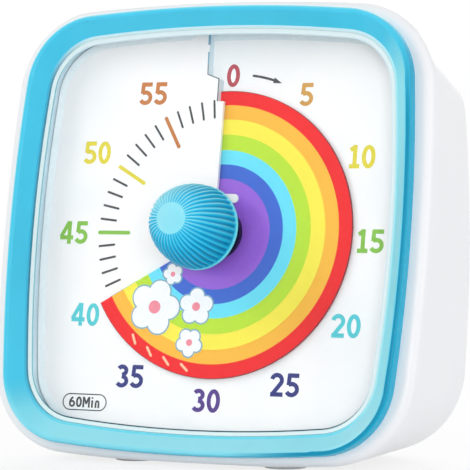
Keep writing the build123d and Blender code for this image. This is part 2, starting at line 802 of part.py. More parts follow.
knob_plane = Plane(origin=face.origin, x_dir=face.x_dir, z_dir=-face.y_dir)
with BuildPart() as knob:
    # half profile of the dome: x is the radius and y the height on the shaft
    with BuildSketch(knob_plane):
        with BuildLine():
            base_edge = Line((0, knob_base), (knob_radius - knob_chamfer, knob_base))
            rim = Line(base_edge @ 1, (knob_radius, knob_base + knob_chamfer))
            waist = Line(rim @ 1, (knob_radius, knob_waist_height))
            dome = Spline(
                waist @ 1,
                (knob_shoulder_radius, knob_shoulder_height),
                (knob_front_radius, knob_front_height),
                tangents=((0, 1), (-1, knob_front_slope)),
            )
            front = Line(dome @ 1, (0, knob_front_height))
            Line(front @ 1, base_edge @ 0)
        make_face()
    revolve(axis=outward)
    # hollow back with a socket for the shaft
    with BuildSketch(face.offset(knob_base)):
        Circle(knob_radius - knob_wall)
        Circle(knob_socket_radius, mode=Mode.SUBTRACT)
    extrude(amount=knob_shoulder_height - knob_base - 2 * knob_wall, mode=Mode.SUBTRACT)
    with BuildSketch(face.offset(knob_base)):
        Circle(shaft_radius)
        with Locations((0, shaft_radius)):
            Rectangle(2 * shaft_radius, 2 * shaft_flat, mode=Mode.SUBTRACT)
    extrude(amount=shaft_front - knob_base + socket_space, mode=Mode.SUBTRACT)
keep(knob, "knob")

# ---- movement: plates --------------------------------------------------------------------------------
movement_width = movement_right - movement_left
movement_height = movement_top - movement_bottom
movement_middle = ((movement_left + movement_right) / 2, (movement_bottom + movement_top) / 2)
with BuildPart() as movement_case:
    with BuildSketch(face.offset(frame_back)):
        with Locations(movement_middle):
            RectangleRounded(movement_width, movement_height, movement_corner)
    extrude(amount=movement_rear - frame_back)
    with BuildSketch(face.offset(movement_inside)):
        with Locations(movement_middle):
            RectangleRounded(
                movement_width - 2 * movement_wall, movement_height - 2 * movement_wall, movement_corner / 2
            )
    extrude(amount=-movement_gap, mode=Mode.SUBTRACT)
    with BuildSketch(face.offset(frame_back)):
        with Locations(*movement_lugs):
            Rectangle(movement_lug + lug_overlap, 2 * screw_head_radius)
    extrude(amount=-movement_wall)
    with BuildSketch(face.offset(movement_inside)):
        with Locations(*stator_posts, *board_posts):
            Circle(post_radius)
    extrude(amount=level_stator + stator_thickness / 2 - movement_inside)
    with BuildSketch(face.offset(frame_back)):
        with Locations(*movement_lugs):
            Circle(screw_radius + running_clearance)
        Circle(shaft_radius + running_clearance)
    extrude(amount=-movement_wall, mode=Mode.SUBTRACT)
    with BuildSketch(face.offset(movement_inside)):
        with Locations(*arbors):
            Circle(pivot_radius + running_clearance)
    extrude(amount=movement_wall / 2, mode=Mode.SUBTRACT)
keep(movement_case, "movement_case")

with BuildPart() as movement_cover:
    with BuildSketch(face.offset(movement_rear)):
        with Locations(movement_middle):
            RectangleRounded(movement_width, movement_height, movement_corner)
    extrude(amount=-movement_wall)
    with BuildSketch(face.offset(movement_rear)):
        Circle(shaft_radius - shaft_step + running_clearance)
        with Locations(*arbors):
            Circle(pivot_radius + running_clearance)
    extrude(amount=-movement_wall / 2 - pivot_space, mode=Mode.SUBTRACT)
keep(movement_cover, "movement_cover")

lug_screw_length = movement_wall + frame_floor - blind_floor - short_tip_space
keep(
    screws(face.offset(frame_back - movement_wall), movement_lugs, lug_screw_length, side=-1),
    "movement_screws",
)

# ---- movement: wheels ----------------------------------------------------------------------------------
with BuildPart() as trip_cam:
    with BuildSketch(face.offset(level_cam)):
        Circle(cam_radius)
        with Locations((0, cam_radius)):
            Rectangle(cam_notch, cam_notch, mode=Mode.SUBTRACT)
        Circle(shaft_radius, mode=Mode.SUBTRACT)
    extrude(amount=-cam_thickness)
keep(trip_cam, "trip_cam")

with BuildPart() as output_wheel:
    with BuildSketch(face.offset(level_output - gear_thickness / 2)):
        Polygon(*gear_outline(output_teeth, third_direction), align=None)
        with PolarLocations(output_hole_place, output_holes):
            Circle(output_hole_radius, mode=Mode.SUBTRACT)
        Circle(shaft_radius + running_clearance, mode=Mode.SUBTRACT)
    extrude(amount=gear_thickness)
keep(output_wheel, "output_wheel")

with BuildPart() as clutch_washer:
    with BuildSketch(face.offset(level_output - gear_thickness / 2 - running_clearance)):
        Circle(clutch_radius)
        Circle(shaft_radius, mode=Mode.SUBTRACT)
        with PolarLocations(clutch_window_place, clutch_windows):
            Rectangle(clutch_window_length, clutch_window_width, mode=Mode.SUBTRACT)
    extrude(amount=-clutch_thickness)
keep(clutch_washer, "clutch_washer")


def arbor(place, pinion_level, small_teeth, towards_wheel):
    """A steel-pivoted arbor with its pinion, reaching into both plates."""
    with BuildPart() as turned:
        with BuildSketch(face.offset(movement_rear - movement_wall / 2)):
            with Locations(place):
                Circle(pivot_radius)
        extrude(amount=movement_gap + movement_wall)
        with BuildSketch(face.offset(movement_rear + arbor_play)):
            with Locations(place):
                Circle(arbor_radius)
        extrude(amount=movement_gap - 2 * arbor_play)
        with BuildSketch(face.offset(pinion_level - pinion_length / 2)):
            with Locations(place):
                Polygon(*gear_outline(small_teeth, towards_wheel + 180 / small_teeth), align=None)
        extrude(amount=pinion_length)
    return turned


def wheel(place, level, teeth, towards_pinion):
    """A thin pierced wheel pressed on its arbor."""
    pitch_radius = gear_module * teeth / 2
    with BuildPart() as cut:
        with BuildSketch(face.offset(level - gear_thickness / 2)):
            with Locations(place):
                Polygon(*gear_outline(teeth, towards_pinion), align=None)
                Circle(arbor_radius, mode=Mode.SUBTRACT)
            with Locations(place):
                with PolarLocations(wheel_hole_place * pitch_radius, wheel_holes):
                    Circle(wheel_hole_share * pitch_radius, mode=Mode.SUBTRACT)
        extrude(amount=gear_thickness)
    return cut


keep(arbor(third_arbor, level_output, pinion_teeth, third_direction + 180), "third_arbor")
keep(wheel(third_arbor, level_third, third_wheel_teeth, second_direction), "third_wheel")
keep(arbor(second_arbor, level_third, pinion_teeth, second_direction + 180), "second_arbor")
keep(wheel(second_arbor, level_second, second_wheel_teeth, first_direction), "second_wheel")
keep(arbor(first_arbor, level_second, pinion_teeth, first_direction + 180), "first_arbor")
keep(wheel(first_arbor, level_third, first_wheel_teeth, rotor_direction), "first_wheel")
keep(arbor(rotor_arbor, level_third, rotor_teeth, rotor_direction + 180), "rotor_arbor")

with BuildPart() as rotor_magnet:
    with BuildSketch(face.offset(level_stator - rotor_thickness / 2)):
        with Locations(rotor_arbor):
            Circle(rotor_radius)
            Circle(arbor_radius, mode=Mode.SUBTRACT)
    extrude(amount=rotor_thickness)
keep(rotor_magnet, "rotor_magnet")

# ---- movement: motor coil and board --------------------------------------------------------------------
stator_left = rotor_arbor[0] - stator_width / 2
arm_length = coil_x + core_width / 2 - stator_left
with BuildPart() as stator:
    with BuildSketch(face.offset(level_stator - stator_thickness / 2)):
        with Locations((stator_left, stator_bottom)):
            Rectangle(stator_width, stator_top - stator_bottom, align=Align.MIN)
            Rectangle(arm_length, stator_arm, align=Align.MIN)
        with Locations((stator_left, stator_top - stator_arm)):
            Rectangle(arm_length, stator_arm, align=Align.MIN)
        with Locations(rotor_arbor):
            Circle(stator_ring)
            Circle(rotor_radius + air_gap, mode=Mode.SUBTRACT)
    extrude(amount=stator_thickness)
keep(stator, "stator")

coil_bottom = stator_bottom + stator_arm + coil_margin
coil_top = stator_top - stator_arm - coil_margin
coil_length = coil_top - coil_bottom
with BuildPart() as coil_core:
    with BuildSketch(face.offset(coil_level - core_thickness / 2)):
        with Locations((coil_x - core_width / 2, stator_bottom)):
            Rectangle(core_width, stator_top - stator_bottom, align=Align.MIN)
    extrude(amount=core_thickness)
    with BuildSketch(face.offset(coil_level)):
        for end in (stator_bottom, stator_top - stator_arm):
            with Locations((coil_x - core_width / 2, end)):
                Rectangle(core_width, stator_arm, align=Align.MIN)
    extrude(amount=level_stator - stator_thickness / 2 - coil_level)
keep(coil_core, "coil_core")

coil_base = Plane(
    origin=face.from_local_coords((coil_x, coil_bottom, coil_level)), x_dir=face.x_dir, z_dir=face.y_dir
)
with BuildPart() as coil_bobbin:
    with BuildSketch(coil_base):
        Circle(coil_tube_radius)
    extrude(amount=coil_length)
    with BuildSketch(coil_base, coil_base.offset(coil_length - coil_flange)):
        Circle(coil_flange_radius)
    extrude(amount=coil_flange)
    with BuildSketch(coil_base):
        Rectangle(core_width, core_thickness)
    extrude(amount=coil_length, mode=Mode.SUBTRACT)
keep(coil_bobbin, "coil_bobbin")

with BuildPart() as coil_winding:
    with BuildSketch(coil_base.offset(coil_flange)):
        Circle(coil_radius)
        Circle(coil_tube_radius, mode=Mode.SUBTRACT)
    extrude(amount=coil_length - 2 * coil_flange)
keep(coil_winding, "coil_winding")

motor_board_front = level_stator + stator_thickness / 2
motor_board_rear = motor_board_front - motor_board_thickness
with BuildPart() as motor_board:
    with BuildSketch(face.offset(motor_board_front)):
        with Locations((motor_board_x, motor_board_y)):
            Rectangle(motor_board_width, motor_board_height)
    extrude(amount=-motor_board_thickness)
keep(motor_board, "motor_board")

with BuildPart() as driver_chip:
    with BuildSketch(face.offset(motor_board_rear)):
        with Locations((motor_board_x, motor_board_y + driver_chip_rise)):
            Circle(driver_chip_radius)
    extrude(amount=-driver_chip_height)
    fillet(driver_chip.faces().sort_by(outward)[0].edges(), driver_chip_height / 2)
keep(driver_chip, "driver_chip")

crystal_axis = Plane(
    origin=face.from_local_coords(
        (motor_board_x, motor_board_y - crystal_drop - crystal_length, motor_board_rear - crystal_radius)
    ),
    x_dir=face.x_dir,
    z_dir=face.y_dir,
)
with BuildPart() as quartz_crystal:
    with BuildSketch(crystal_axis):
        Circle(crystal_radius)
    extrude(amount=crystal_length)
keep(quartz_crystal, "quartz_crystal")

# leaf that drops into the cam's notch at zero and closes the alarm contact
leaf_y = cam_radius + leaf_gap
with BuildPart() as zero_contact:
    with BuildSketch(face.offset(level_cam - leaf_margin)):
        with Locations((leaf_left, leaf_y)):
            Rectangle(leaf_length, leaf_thickness, align=Align.MIN)
    extrude(amount=2 * leaf_margin - cam_thickness)
    with BuildSketch(face.offset(movement_inside)):
        with Locations((leaf_left, leaf_y)):
            Rectangle(leaf_foot_length, leaf_foot_height, align=Align.MIN)
    extrude(amount=level_cam + leaf_margin - cam_thickness - movement_inside)
keep(zero_contact, "zero_contact")

# ---- rear cover, battery and door ----------------------------------------------------------------------


def door_line(reach):
    """Plane across the door's hinge line, at a distance to the left of the door's middle."""
    start = back.from_local_coords((-reach, door_bottom + door_thickness / 2, door_thickness / 2))
    return Plane(origin=start, x_dir=back.y_dir, z_dir=back.x_dir)


with BuildPart() as rear_cover:
    add(cover_plate())
    with BuildSketch(back.offset(cover_thickness)):
        with Locations((0, tray_middle)):
            Rectangle(2 * (tray_half_length + tray_wall), tray_height + 2 * tray_wall)
    extrude(amount=tray_floor + tray_wall - cover_thickness)
    with BuildSketch(back):
        with Locations((0, tray_middle)):
            Rectangle(2 * tray_half_length, tray_height)
    extrude(amount=tray_floor, mode=Mode.SUBTRACT)
    with BuildSketch(back):
        with Locations((0, tray_middle)):
            Rectangle(2 * (tray_half_length + door_ledge), tray_height + 2 * door_ledge)
    extrude(amount=door_thickness + door_seat, mode=Mode.SUBTRACT)
    # holes for the door's pins
    with BuildSketch(door_line(door_pin_reach + door_pin_space)):
        Circle(door_pin_radius + running_clearance)
    extrude(amount=2 * (door_pin_reach + door_pin_space), mode=Mode.SUBTRACT)
    # posts for the board, holes for the screws
    with BuildSketch(back.offset(cover_thickness)):
        with Locations(*board_screws):
            Circle(2 * screw_radius)
    extrude(amount=board_gap)
    with BuildSketch(back.offset(board_depth)):
        with Locations(*board_screws):
            Circle(screw_radius)
    extrude(amount=-board_gap, mode=Mode.SUBTRACT)
    with BuildSketch(back):
        with Locations(*cover_screws):
            Circle(screw_radius + running_clearance)
    extrude(amount=cover_thickness, mode=Mode.SUBTRACT)
    with BuildSketch(back):
        with Locations(*cover_screws):
            Circle(screw_head_radius + head_clearance)
    extrude(amount=screw_head_height, mode=Mode.SUBTRACT)
    # sound slots and the slots for the two switches
    with BuildSketch(back):
        with Locations((buzzer_x, board_rise)):
            with GridLocations(0, grille_pitch, 1, grille_slots):
                SlotOverall(grille_length, grille_width)
        with Locations(*switch_places):
            Rectangle(stem_slot, slider_width + 2 * slider_side_gap)
    extrude(amount=cover_thickness, mode=Mode.SUBTRACT)
keep(rear_cover, "rear_cover")
keep(screws(back.offset(screw_head_height), cover_screws, screw_length - screw_head_height, -1), "cover_screws")

with BuildPart() as battery_door:
    with BuildSketch(back):
        with Locations((0, (door_bottom + door_top) / 2 + door_thickness / 4)):
            Rectangle(2 * door_half_length, door_top - door_bottom - door_thickness / 2)
    extrude(amount=door_thickness)
    with BuildSketch(door_line(door_half_length)):
        Circle(door_thickness / 2)
    extrude(amount=2 * door_half_length)
    with BuildSketch(door_line(door_pin_reach)):
        Circle(door_pin_radius)
    extrude(amount=2 * door_pin_reach)
    with BuildSketch(back):
        with Locations((0, door_top - door_grip_drop)):
            with GridLocations(0, door_grip_pitch, 1, door_grip_ribs):
                Rectangle(door_grip_width, door_grip_pitch / 2)
    extrude(amount=door_grip_depth, mode=Mode.SUBTRACT)
keep(battery_door, "battery_door")

cell_left = -tray_half_length + contact_thickness + spring_length
cell_line = Plane(
    origin=back.from_local_coords((cell_left, tray_middle, cell_depth)), x_dir=back.y_dir, z_dir=back.x_dir
)
with BuildPart() as battery_cell:
    with BuildSketch(cell_line):
        Circle(cell_radius)
    extrude(amount=cell_length)
    fillet(battery_cell.edges(), cell_round)
    with BuildSketch(cell_line.offset(cell_length)):
        Circle(cell_nub_radius)
    extrude(amount=cell_nub_length)
keep(battery_cell, "battery_cell")

with BuildPart() as positive_contact:
    with BuildSketch(cell_line.offset(cell_length + cell_nub_length)):
        Rectangle(contact_size, contact_size)
    extrude(amount=contact_thickness)
keep(positive_contact, "positive_contact")

with BuildPart() as negative_contact:
    with BuildSketch(cell_line.offset(-spring_length - contact_thickness)):
        Rectangle(contact_size, contact_size)
    extrude(amount=contact_thickness)
keep(negative_contact, "negative_contact")

spring_rise = spring_length - spring_wire
with BuildPart() as coiled:
    with BuildLine():
        Helix(pitch=spring_rise / spring_turns, height=spring_rise, radius=spring_radius)
    with BuildSketch(Plane.XZ):
        with Locations((spring_radius, 0)):
            Circle(spring_wire / 2)
    sweep(is_frenet=True)
with BuildPart() as battery_spring:
    add(cell_line.offset(-spring_length + spring_wire / 2) * coiled.part)
keep(battery_spring, "battery_spring")

# ---- sound board ----------------------------------------------------------------------------------------
with BuildPart() as sound_board:
    with BuildSketch(back.offset(board_depth)):
        with Locations((0, board_rise)):
            Rectangle(board_width, board_height)
        with Locations(*board_screws):
            Circle(screw_radius + running_clearance, mode=Mode.SUBTRACT)
    extrude(amount=board_thickness)
keep(sound_board, "sound_board")
keep(
    screws(
        back.offset(board_depth + board_thickness), board_screws, board_thickness + board_gap - screw_tip_space
    ),
    "board_screws",
)

with BuildPart() as buzzer:
    with BuildSketch(back.offset(board_depth)):
        with Locations((buzzer_x, board_rise)):
            Circle(buzzer_radius)
    extrude(amount=-buzzer_height)
    with BuildSketch(back.offset(board_depth - buzzer_height)):
        with Locations((buzzer_x, board_rise)):
            Circle(buzzer_port_radius)
    extrude(amount=buzzer_port_depth, mode=Mode.SUBTRACT)
keep(buzzer, "buzzer")

with BuildPart() as sound_chip:
    with BuildSketch(back.offset(board_depth + board_thickness)):
        with Locations((0, board_rise)):
            RectangleRounded(sound_chip_length, sound_chip_width, sound_chip_corner)
    extrude(amount=sound_chip_height)
keep(sound_chip, "sound_chip")

slider_floor = board_depth - switch_floor
for name, place in (("volume", switch_places[0]), ("ring_time", switch_places[1])):
    with BuildPart() as switch_body:
        with BuildSketch(back.offset(board_depth)):
            with Locations(place):
                Rectangle(switch_length, switch_width)
        extrude(amount=-switch_height)
        with BuildSketch(back.offset(board_depth - switch_height)):
            with Locations(place):
                Rectangle(stem_slot, slider_width + 2 * running_clearance)
        extrude(amount=switch_height - switch_floor, mode=Mode.SUBTRACT)
    keep(switch_body, f"{name}_switch")
    with BuildPart() as slider:
        with BuildSketch(back.offset(slider_inset)):
            with Locations(place):
                Rectangle(slider_length, slider_width)
        extrude(amount=slider_floor - slider_play - slider_inset)
    keep(slider, f"{name}_slider")
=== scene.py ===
"""Looks of the visual countdown timer: finishes, prints, ribbed knob, light and camera.

Lengths on the object are in millimetres in the face frame: x to the right, y up along the
dial, h outwards from the dial's printed level. on_face() turns them into scene metres.
The camera, the lamps, the floor and the bezel's tones are placed in scene metres.
"""

import json
import math

import bmesh
import bpy
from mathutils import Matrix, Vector
from mathutils.geometry import delaunay_2d_cdt


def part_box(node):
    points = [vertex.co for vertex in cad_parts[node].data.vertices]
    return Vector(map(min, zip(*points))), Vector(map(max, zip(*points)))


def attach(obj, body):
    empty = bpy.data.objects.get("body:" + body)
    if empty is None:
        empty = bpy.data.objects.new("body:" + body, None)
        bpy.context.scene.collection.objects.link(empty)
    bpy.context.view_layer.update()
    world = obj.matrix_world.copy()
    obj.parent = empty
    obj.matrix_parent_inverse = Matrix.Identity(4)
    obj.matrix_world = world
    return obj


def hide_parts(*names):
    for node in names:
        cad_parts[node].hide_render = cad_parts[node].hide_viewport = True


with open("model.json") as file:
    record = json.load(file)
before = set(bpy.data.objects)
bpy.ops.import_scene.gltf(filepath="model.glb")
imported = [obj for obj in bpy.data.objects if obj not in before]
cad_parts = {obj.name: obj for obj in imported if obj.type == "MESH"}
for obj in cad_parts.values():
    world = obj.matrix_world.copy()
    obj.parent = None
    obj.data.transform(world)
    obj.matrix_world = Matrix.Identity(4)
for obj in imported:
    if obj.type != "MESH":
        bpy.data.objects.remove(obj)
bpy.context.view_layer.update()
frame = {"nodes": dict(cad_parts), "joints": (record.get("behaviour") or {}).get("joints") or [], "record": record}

# ---- the face frame, taken from the knob's joint --------------------------------------------------
knob_turn = next(joint for joint in frame["joints"] if joint["name"] == "knob_turn")
dial_centre = Vector(knob_turn["pos_m"])
outward = Vector(knob_turn["axis"])
across = Vector((1, 0, 0))
upward = outward.cross(across)
mm = 0.001

disc_radius = 28.0
disc_thickness = 0.4
dial_minutes = 60
degrees_per_minute = 360 / dial_minutes
wipe_pitch = 2.0  # rise of the dial round one turn
dial_low = -1.66  # top of the dial just right of the slit
disc_gap = 0.4  # between the dial and the disc's back
ink = 0.03  # how far a print stands proud
ink_root = 0.03  # how far it reaches into what it is printed on
film_depth = 0.03  # of the films at the step and round the lens


def on_face(x, y, h):
    """A point of the face frame, in scene metres."""
    return dial_centre + mm * (across * x + upward * y + outward * h)


# the step's line, from the centre up to the dial's edge
slit_path = [(-0.75, 0.0), (-0.75, 25.8), (-2.0, 25.8), (-2.0, 30.2), (-4.5, 31.1), (-5.2, 56.0)]


def minutes_at(x, y):
    """The dial's minutes at a point, clockwise from the top."""
    return math.degrees(math.atan2(x, y)) % 360 / degrees_per_minute


def slit_at(y):
    """Where the dial's step is, at a height above the centre."""
    for (x_start, y_start), (x_end, y_end) in zip(slit_path, slit_path[1:]):
        if y_start <= y < y_end:
            return x_start + (x_end - x_start) * (y - y_start) / (y_end - y_start)
    return 0.0


def spiral(x, y):
    """Height of the dial's helical surface, without the step."""
    return dial_low + wipe_pitch * minutes_at(x, y) / dial_minutes


def dial_surface(x, y):
    """Height of the dial: between the step and the vertical it is already low."""
    return dial_low if slit_at(y) < x < 0 else spiral(x, y)


def disc_surface(x, y):
    """Height of the disc's printed face."""
    return spiral(x, y) + disc_gap + disc_thickness


def polar(minutes, radius):
    """The face point at a dial minute and a radius."""
    turn = math.radians(degrees_per_minute * minutes)
    return radius * math.sin(turn), radius * math.cos(turn)


# ---- camera ---------------------------------------------------------------------------------------
view_azimuth = math.radians(26.49)
view_elevation = math.radians(1.3)
view_distance = 0.4993
view_aim = Vector((0.00278, -0.00176, 0.0435))
sensor_width = 36.0
photo_width = 470
focal_pixels = 2600
nearest_seen = 0.01

view_direction = Vector((math.sin(view_azimuth) * math.cos(view_elevation),
                         -math.cos(view_azimuth) * math.cos(view_elevation),
                         math.sin(view_elevation)))
camera_data = bpy.data.cameras.new("photo_camera")
camera_data.sensor_width = sensor_width
camera_data.lens = sensor_width * focal_pixels / photo_width
camera_data.clip_start = nearest_seen
camera = bpy.data.objects.new("photo_camera", camera_data)
camera.location = view_aim + view_distance * view_direction
camera.rotation_euler = (-view_direction).to_track_quat("-Z", "Y").to_euler()
bpy.context.scene.collection.objects.link(camera)
bpy.context.scene.camera = camera


# ---- material helpers -----------------------------------------------------------------------------
def srgb(red, green, blue):
    """A colour written in 0-255 display values, as the linear colour that Blender wants."""
    linear = []
    for value in (red, green, blue):
        share = value / 255
        linear.append(share / 12.92 if share <= 0.04045 else ((share + 0.055) / 1.055) ** 2.4)
    return (*linear, 1.0)


noise_low, noise_high = 0.3, 0.7  # most of a noise's values lie between these
mix_first, mix_second, mix_result = 6, 7, 2  # a colour Mix node's sockets, whose names repeat
pure_white = (1.0, 1.0, 1.0, 1.0)


class ShaderTree:
    """Short ways to add nodes to the tree of a material or of the world."""

    def __init__(self, owner):
        owner.use_nodes = True
        self.nodes = owner.node_tree.nodes
        self.links = owner.node_tree.links

    def node(self, kind, **settings):
        made = self.nodes.new(kind)
        for setting, value in settings.items():
            setattr(made, setting, value)
        return made

    def join(self, output, socket):
        self.links.new(output, socket)

    def put(self, value, socket):
        """Joins an output to a socket, or sets a number or a direction on it."""
        if isinstance(value, bpy.types.NodeSocket):
            self.join(value, socket)
        else:
            socket.default_value = value

    def maths(self, operation, *values):
        made = self.node("ShaderNodeMath", operation=operation)
        for value, socket in zip(values, made.inputs):
            self.put(value, socket)
        return made.outputs["Value"]

    def seen_directly(self):
        """1 for what the camera sees, also in a gloss or through the lens, and 0 for light."""
        rays = self.node("ShaderNodeLightPath")
        seen = self.maths("MAXIMUM", rays.outputs["Is Camera Ray"], rays.outputs["Is Glossy Ray"])
        return self.maths("MAXIMUM", seen, rays.outputs["Is Transmission Ray"])

    def choose(self, factor, shader, instead, target):
        """Joins one shader to the target, and another instead where the factor is 1."""
        choice = self.node("ShaderNodeMixShader")
        for output, socket in zip((factor, shader, instead), choice.inputs):
            self.join(output, socket)
        self.join(choice.outputs["Shader"], target)


class Finish(ShaderTree):
    """A Principled material whose colour, roughness and relief follow the place on the object."""

    def __init__(self, name, roughness, **sockets):
        self.material = bpy.data.materials.new(name)
        super().__init__(self.material)
        self.shader = self.nodes["Principled BSDF"]
        self.shader.inputs["Roughness"].default_value = roughness
        for socket, value in sockets.items():
            self.shader.inputs[socket.replace("_", " ")].default_value = value
        self.place = self.node("ShaderNodeTexCoord").outputs["Object"]

    def vector_maths(self, operation, *values, output="Vector"):
        made = self.node("ShaderNodeVectorMath", operation=operation)
        for value, socket in zip(values, made.inputs):
            self.put(value, socket)
        return made.outputs[output]

    def dot(self, first, second):
        return self.vector_maths("DOT_PRODUCT", first, second, output="Value")

    def normal(self):
        return self.node("ShaderNodeNewGeometry").outputs["Normal"]

    def attribute(self, name):
        return self.node("ShaderNodeAttribute", attribute_name=name).outputs["Fac"]

    def coordinate(self, letter):
        """One of a point's coordinates on the object, in metres."""
        parts = self.node("ShaderNodeSeparateXYZ")
        self.join(self.place, parts.inputs["Vector"])
        return parts.outputs[letter]

    def between(self, value, start, end, low=0.0, high=1.0, smooth=False):
        """Goes from low to high as the value goes from start to end."""
        made = self.node("ShaderNodeMapRange", interpolation_type="SMOOTHSTEP" if smooth else "LINEAR")
        for number, socket in zip((value, start, end, low, high), made.inputs):
            self.put(number, socket)
        return made.outputs["Result"]

    def mixed(self, factor, first, second, blend_type="MIX"):
        """Two colours mixed by a factor."""
        made = self.node("ShaderNodeMix", data_type="RGBA", blend_type=blend_type)
        self.put(factor, made.inputs["Factor"])
        self.join(first, made.inputs[mix_first])
        self.join(second, made.inputs[mix_second])
        return made.outputs[mix_result]

    def flecked(self, colour, size, darkest, detail=2.0):
        """A colour times a faint grey fleck whose features are about size millimetres wide."""
        fleck = self.ramp(self.noise(size, detail), [(noise_low, srgb(darkest, darkest, darkest)),
                                                     (noise_high, srgb(255, 255, 255))])
        return self.mixed(1.0, colour, fleck, "MULTIPLY")

    def noise(self, size, detail=2.0):
        """Noise whose features are about size millimetres wide."""
        mapping = self.node("ShaderNodeMapping")
        mapping.inputs["Scale"].default_value = [1 / (size * mm)] * 3
        self.join(self.place, mapping.inputs["Vector"])
        texture = self.node("ShaderNodeTexNoise")
        texture.inputs["Scale"].default_value = 1.0
        texture.inputs["Detail"].default_value = detail
        self.join(mapping.outputs["Vector"], texture.inputs["Vector"])
        return texture.outputs["Fac"]

    def ramp(self, factor, stops, interpolation="LINEAR"):
        """A colour ramp through (position, colour) stops."""
        ramp = self.node("ShaderNodeValToRGB")
        elements = ramp.color_ramp.elements
        ramp.color_ramp.interpolation = interpolation
        while len(elements) < len(stops):
            elements.new(1.0)
        for element, (position, colour) in zip(elements, stops):
            element.position = position
            element.color = colour
        self.join(factor, ramp.inputs["Fac"])
        return ramp.outputs["Color"]

    def colours(self, factor, dark, light):
        """Blends the base colour between two near tones."""
        self.paint(self.ramp(factor, [(noise_low, dark), (noise_high, light)]))

    def paint(self, colour):
        self.join(colour, self.shader.inputs["Base Color"])

    def roughness(self, factor, low, high):
        self.join(self.between(factor, noise_low, noise_high, low, high), self.shader.inputs["Roughness"])

    def relief(self, factor, depth):
        """Raises the surface by the factor, depth in millimetres."""
        bump = self.node("ShaderNodeBump")
        bump.inputs["Strength"].default_value = 1.0
        bump.inputs["Distance"].default_value = depth * mm
        self.join(factor, bump.inputs["Height"])
        self.join(bump.outputs["Normal"], self.shader.inputs["Normal"])

    def show(self, factor, instead):
        """Shows another shader where the factor is 1."""
        surface = self.nodes["Material Output"].inputs["Surface"]
        self.choose(factor, self.shader.outputs["BSDF"], instead, surface)


# ---- materials ------------------------------------------------------------------------------------
def moulded(name, dark, light, roughness, grain=0.25, depth=0.004, blotch=9.0, **sockets):
    """Moulded plastic: a fine grain, slow changes of tone and uneven gloss."""
    finish = Finish(name, sum(roughness) / 2, **sockets)
    finish.colours(finish.noise(blotch), dark, light)
    finish.roughness(finish.noise(3.1, detail=4.0), *roughness)
    finish.relief(finish.noise(grain, detail=1.0), depth)
    return finish.material


def metal(name, dark, light, roughness):
    """Bare metal with small changes of tone and gloss and a very fine grain."""
    finish = Finish(name, sum(roughness) / 2, Metallic=1.0)
    finish.colours(finish.noise(1.3, detail=3.0), dark, light)
    finish.roughness(finish.noise(0.6, detail=3.0), *roughness)
    finish.relief(finish.noise(0.12), 0.003)
    return finish.material


def case_white():
    """The housing's and covers' white, with a thin gloss."""
    return moulded("case_white", srgb(246, 247, 249), srgb(249, 249, 251), (0.31, 0.35), grain=0.35,
                   depth=0.0012, blotch=26.0, Coat_Weight=0.12, Coat_Roughness=0.15)


# Painted light and shade: both blues are painted lighter on slopes that face up and left, as under a broad window
# light.
bezel_painted_light_side = upward * 0.65 - across * 0.75
bezel_wall_gain, bezel_front_loss = 1.6, -1.2  # how strongly a wall's tone follows it, and less in front
bezel_middle = (0, 0, 0.044)
bezel_painted_shade_side = (0.95, 0, -0.3)  # direction from the middle in which the outer wall's painted shade is deepest
bezel_slope_painted_tones = [(0.05, srgb(20, 168, 208)), (0.2, srgb(44, 190, 228)), (0.3, srgb(78, 214, 248)),
               (0.5, srgb(78, 214, 248)), (0.64, srgb(140, 240, 255)), (1.0, srgb(184, 246, 255))]
bezel_low_painted_light_tones = [(0.05, srgb(60, 184, 216)), (0.3, srgb(96, 208, 236)), (0.46, srgb(130, 230, 248)),
                   (0.64, srgb(160, 242, 255)), (1.0, srgb(196, 248, 255))]
bezel_painted_shade_tones = [(0.05, srgb(0, 178, 214)), (0.3, srgb(0, 166, 204)), (0.46, srgb(0, 148, 186)),
                     (0.56, srgb(4, 160, 198)), (0.7, srgb(150, 240, 255)), (1.0, srgb(178, 246, 255))]
bezel_low_start, bezel_low_end = 0.016, 0.009  # heights between which the painted lighter low tones come in
bezel_inner, bezel_outer = -0.05, 0.03  # how far inner and outer slopes lean away from the middle
bezel_turn_start, bezel_turn_end = 0.42, 0.72  # how near the painted shade side its painted shade tones come in


def gloss_blue():
    """The bezel's blue by its slopes, with painted light and shade: painted lighter below the lens, painted
    deepest shade on the right's outer wall.
    """
    finish = Finish("gloss_blue", 0.25, Specular_IOR_Level=0.22, Coat_Weight=0.06, Coat_Roughness=0.08)
    normal = finish.normal()
    gain = finish.maths("MULTIPLY_ADD", finish.dot(normal, outward), bezel_front_loss, bezel_wall_gain)
    slope = finish.maths("MULTIPLY", gain, finish.dot(normal, bezel_painted_light_side))
    share = finish.between(slope, -1.0, 1.0)
    low = finish.between(finish.coordinate("Z"), bezel_low_start, bezel_low_end, smooth=True)
    tone = finish.mixed(low, finish.ramp(share, bezel_slope_painted_tones), finish.ramp(share, bezel_low_painted_light_tones))
    away = finish.vector_maths("NORMALIZE", finish.vector_maths("SUBTRACT", finish.place, bezel_middle))
    outer = finish.between(finish.dot(away, normal), bezel_inner, bezel_outer, smooth=True)
    turned = finish.between(finish.dot(away, bezel_painted_shade_side), bezel_turn_start, bezel_turn_end, smooth=True)
    tone = finish.mixed(finish.maths("MULTIPLY", outer, turned), tone, finish.ramp(share, bezel_painted_shade_tones))
    finish.paint(finish.flecked(tone, 7.0, 250))
    finish.roughness(finish.noise(3.1, detail=4.0), 0.24, 0.27)
    finish.relief(finish.noise(0.4, detail=1.0), 0.0006)
    return finish.material


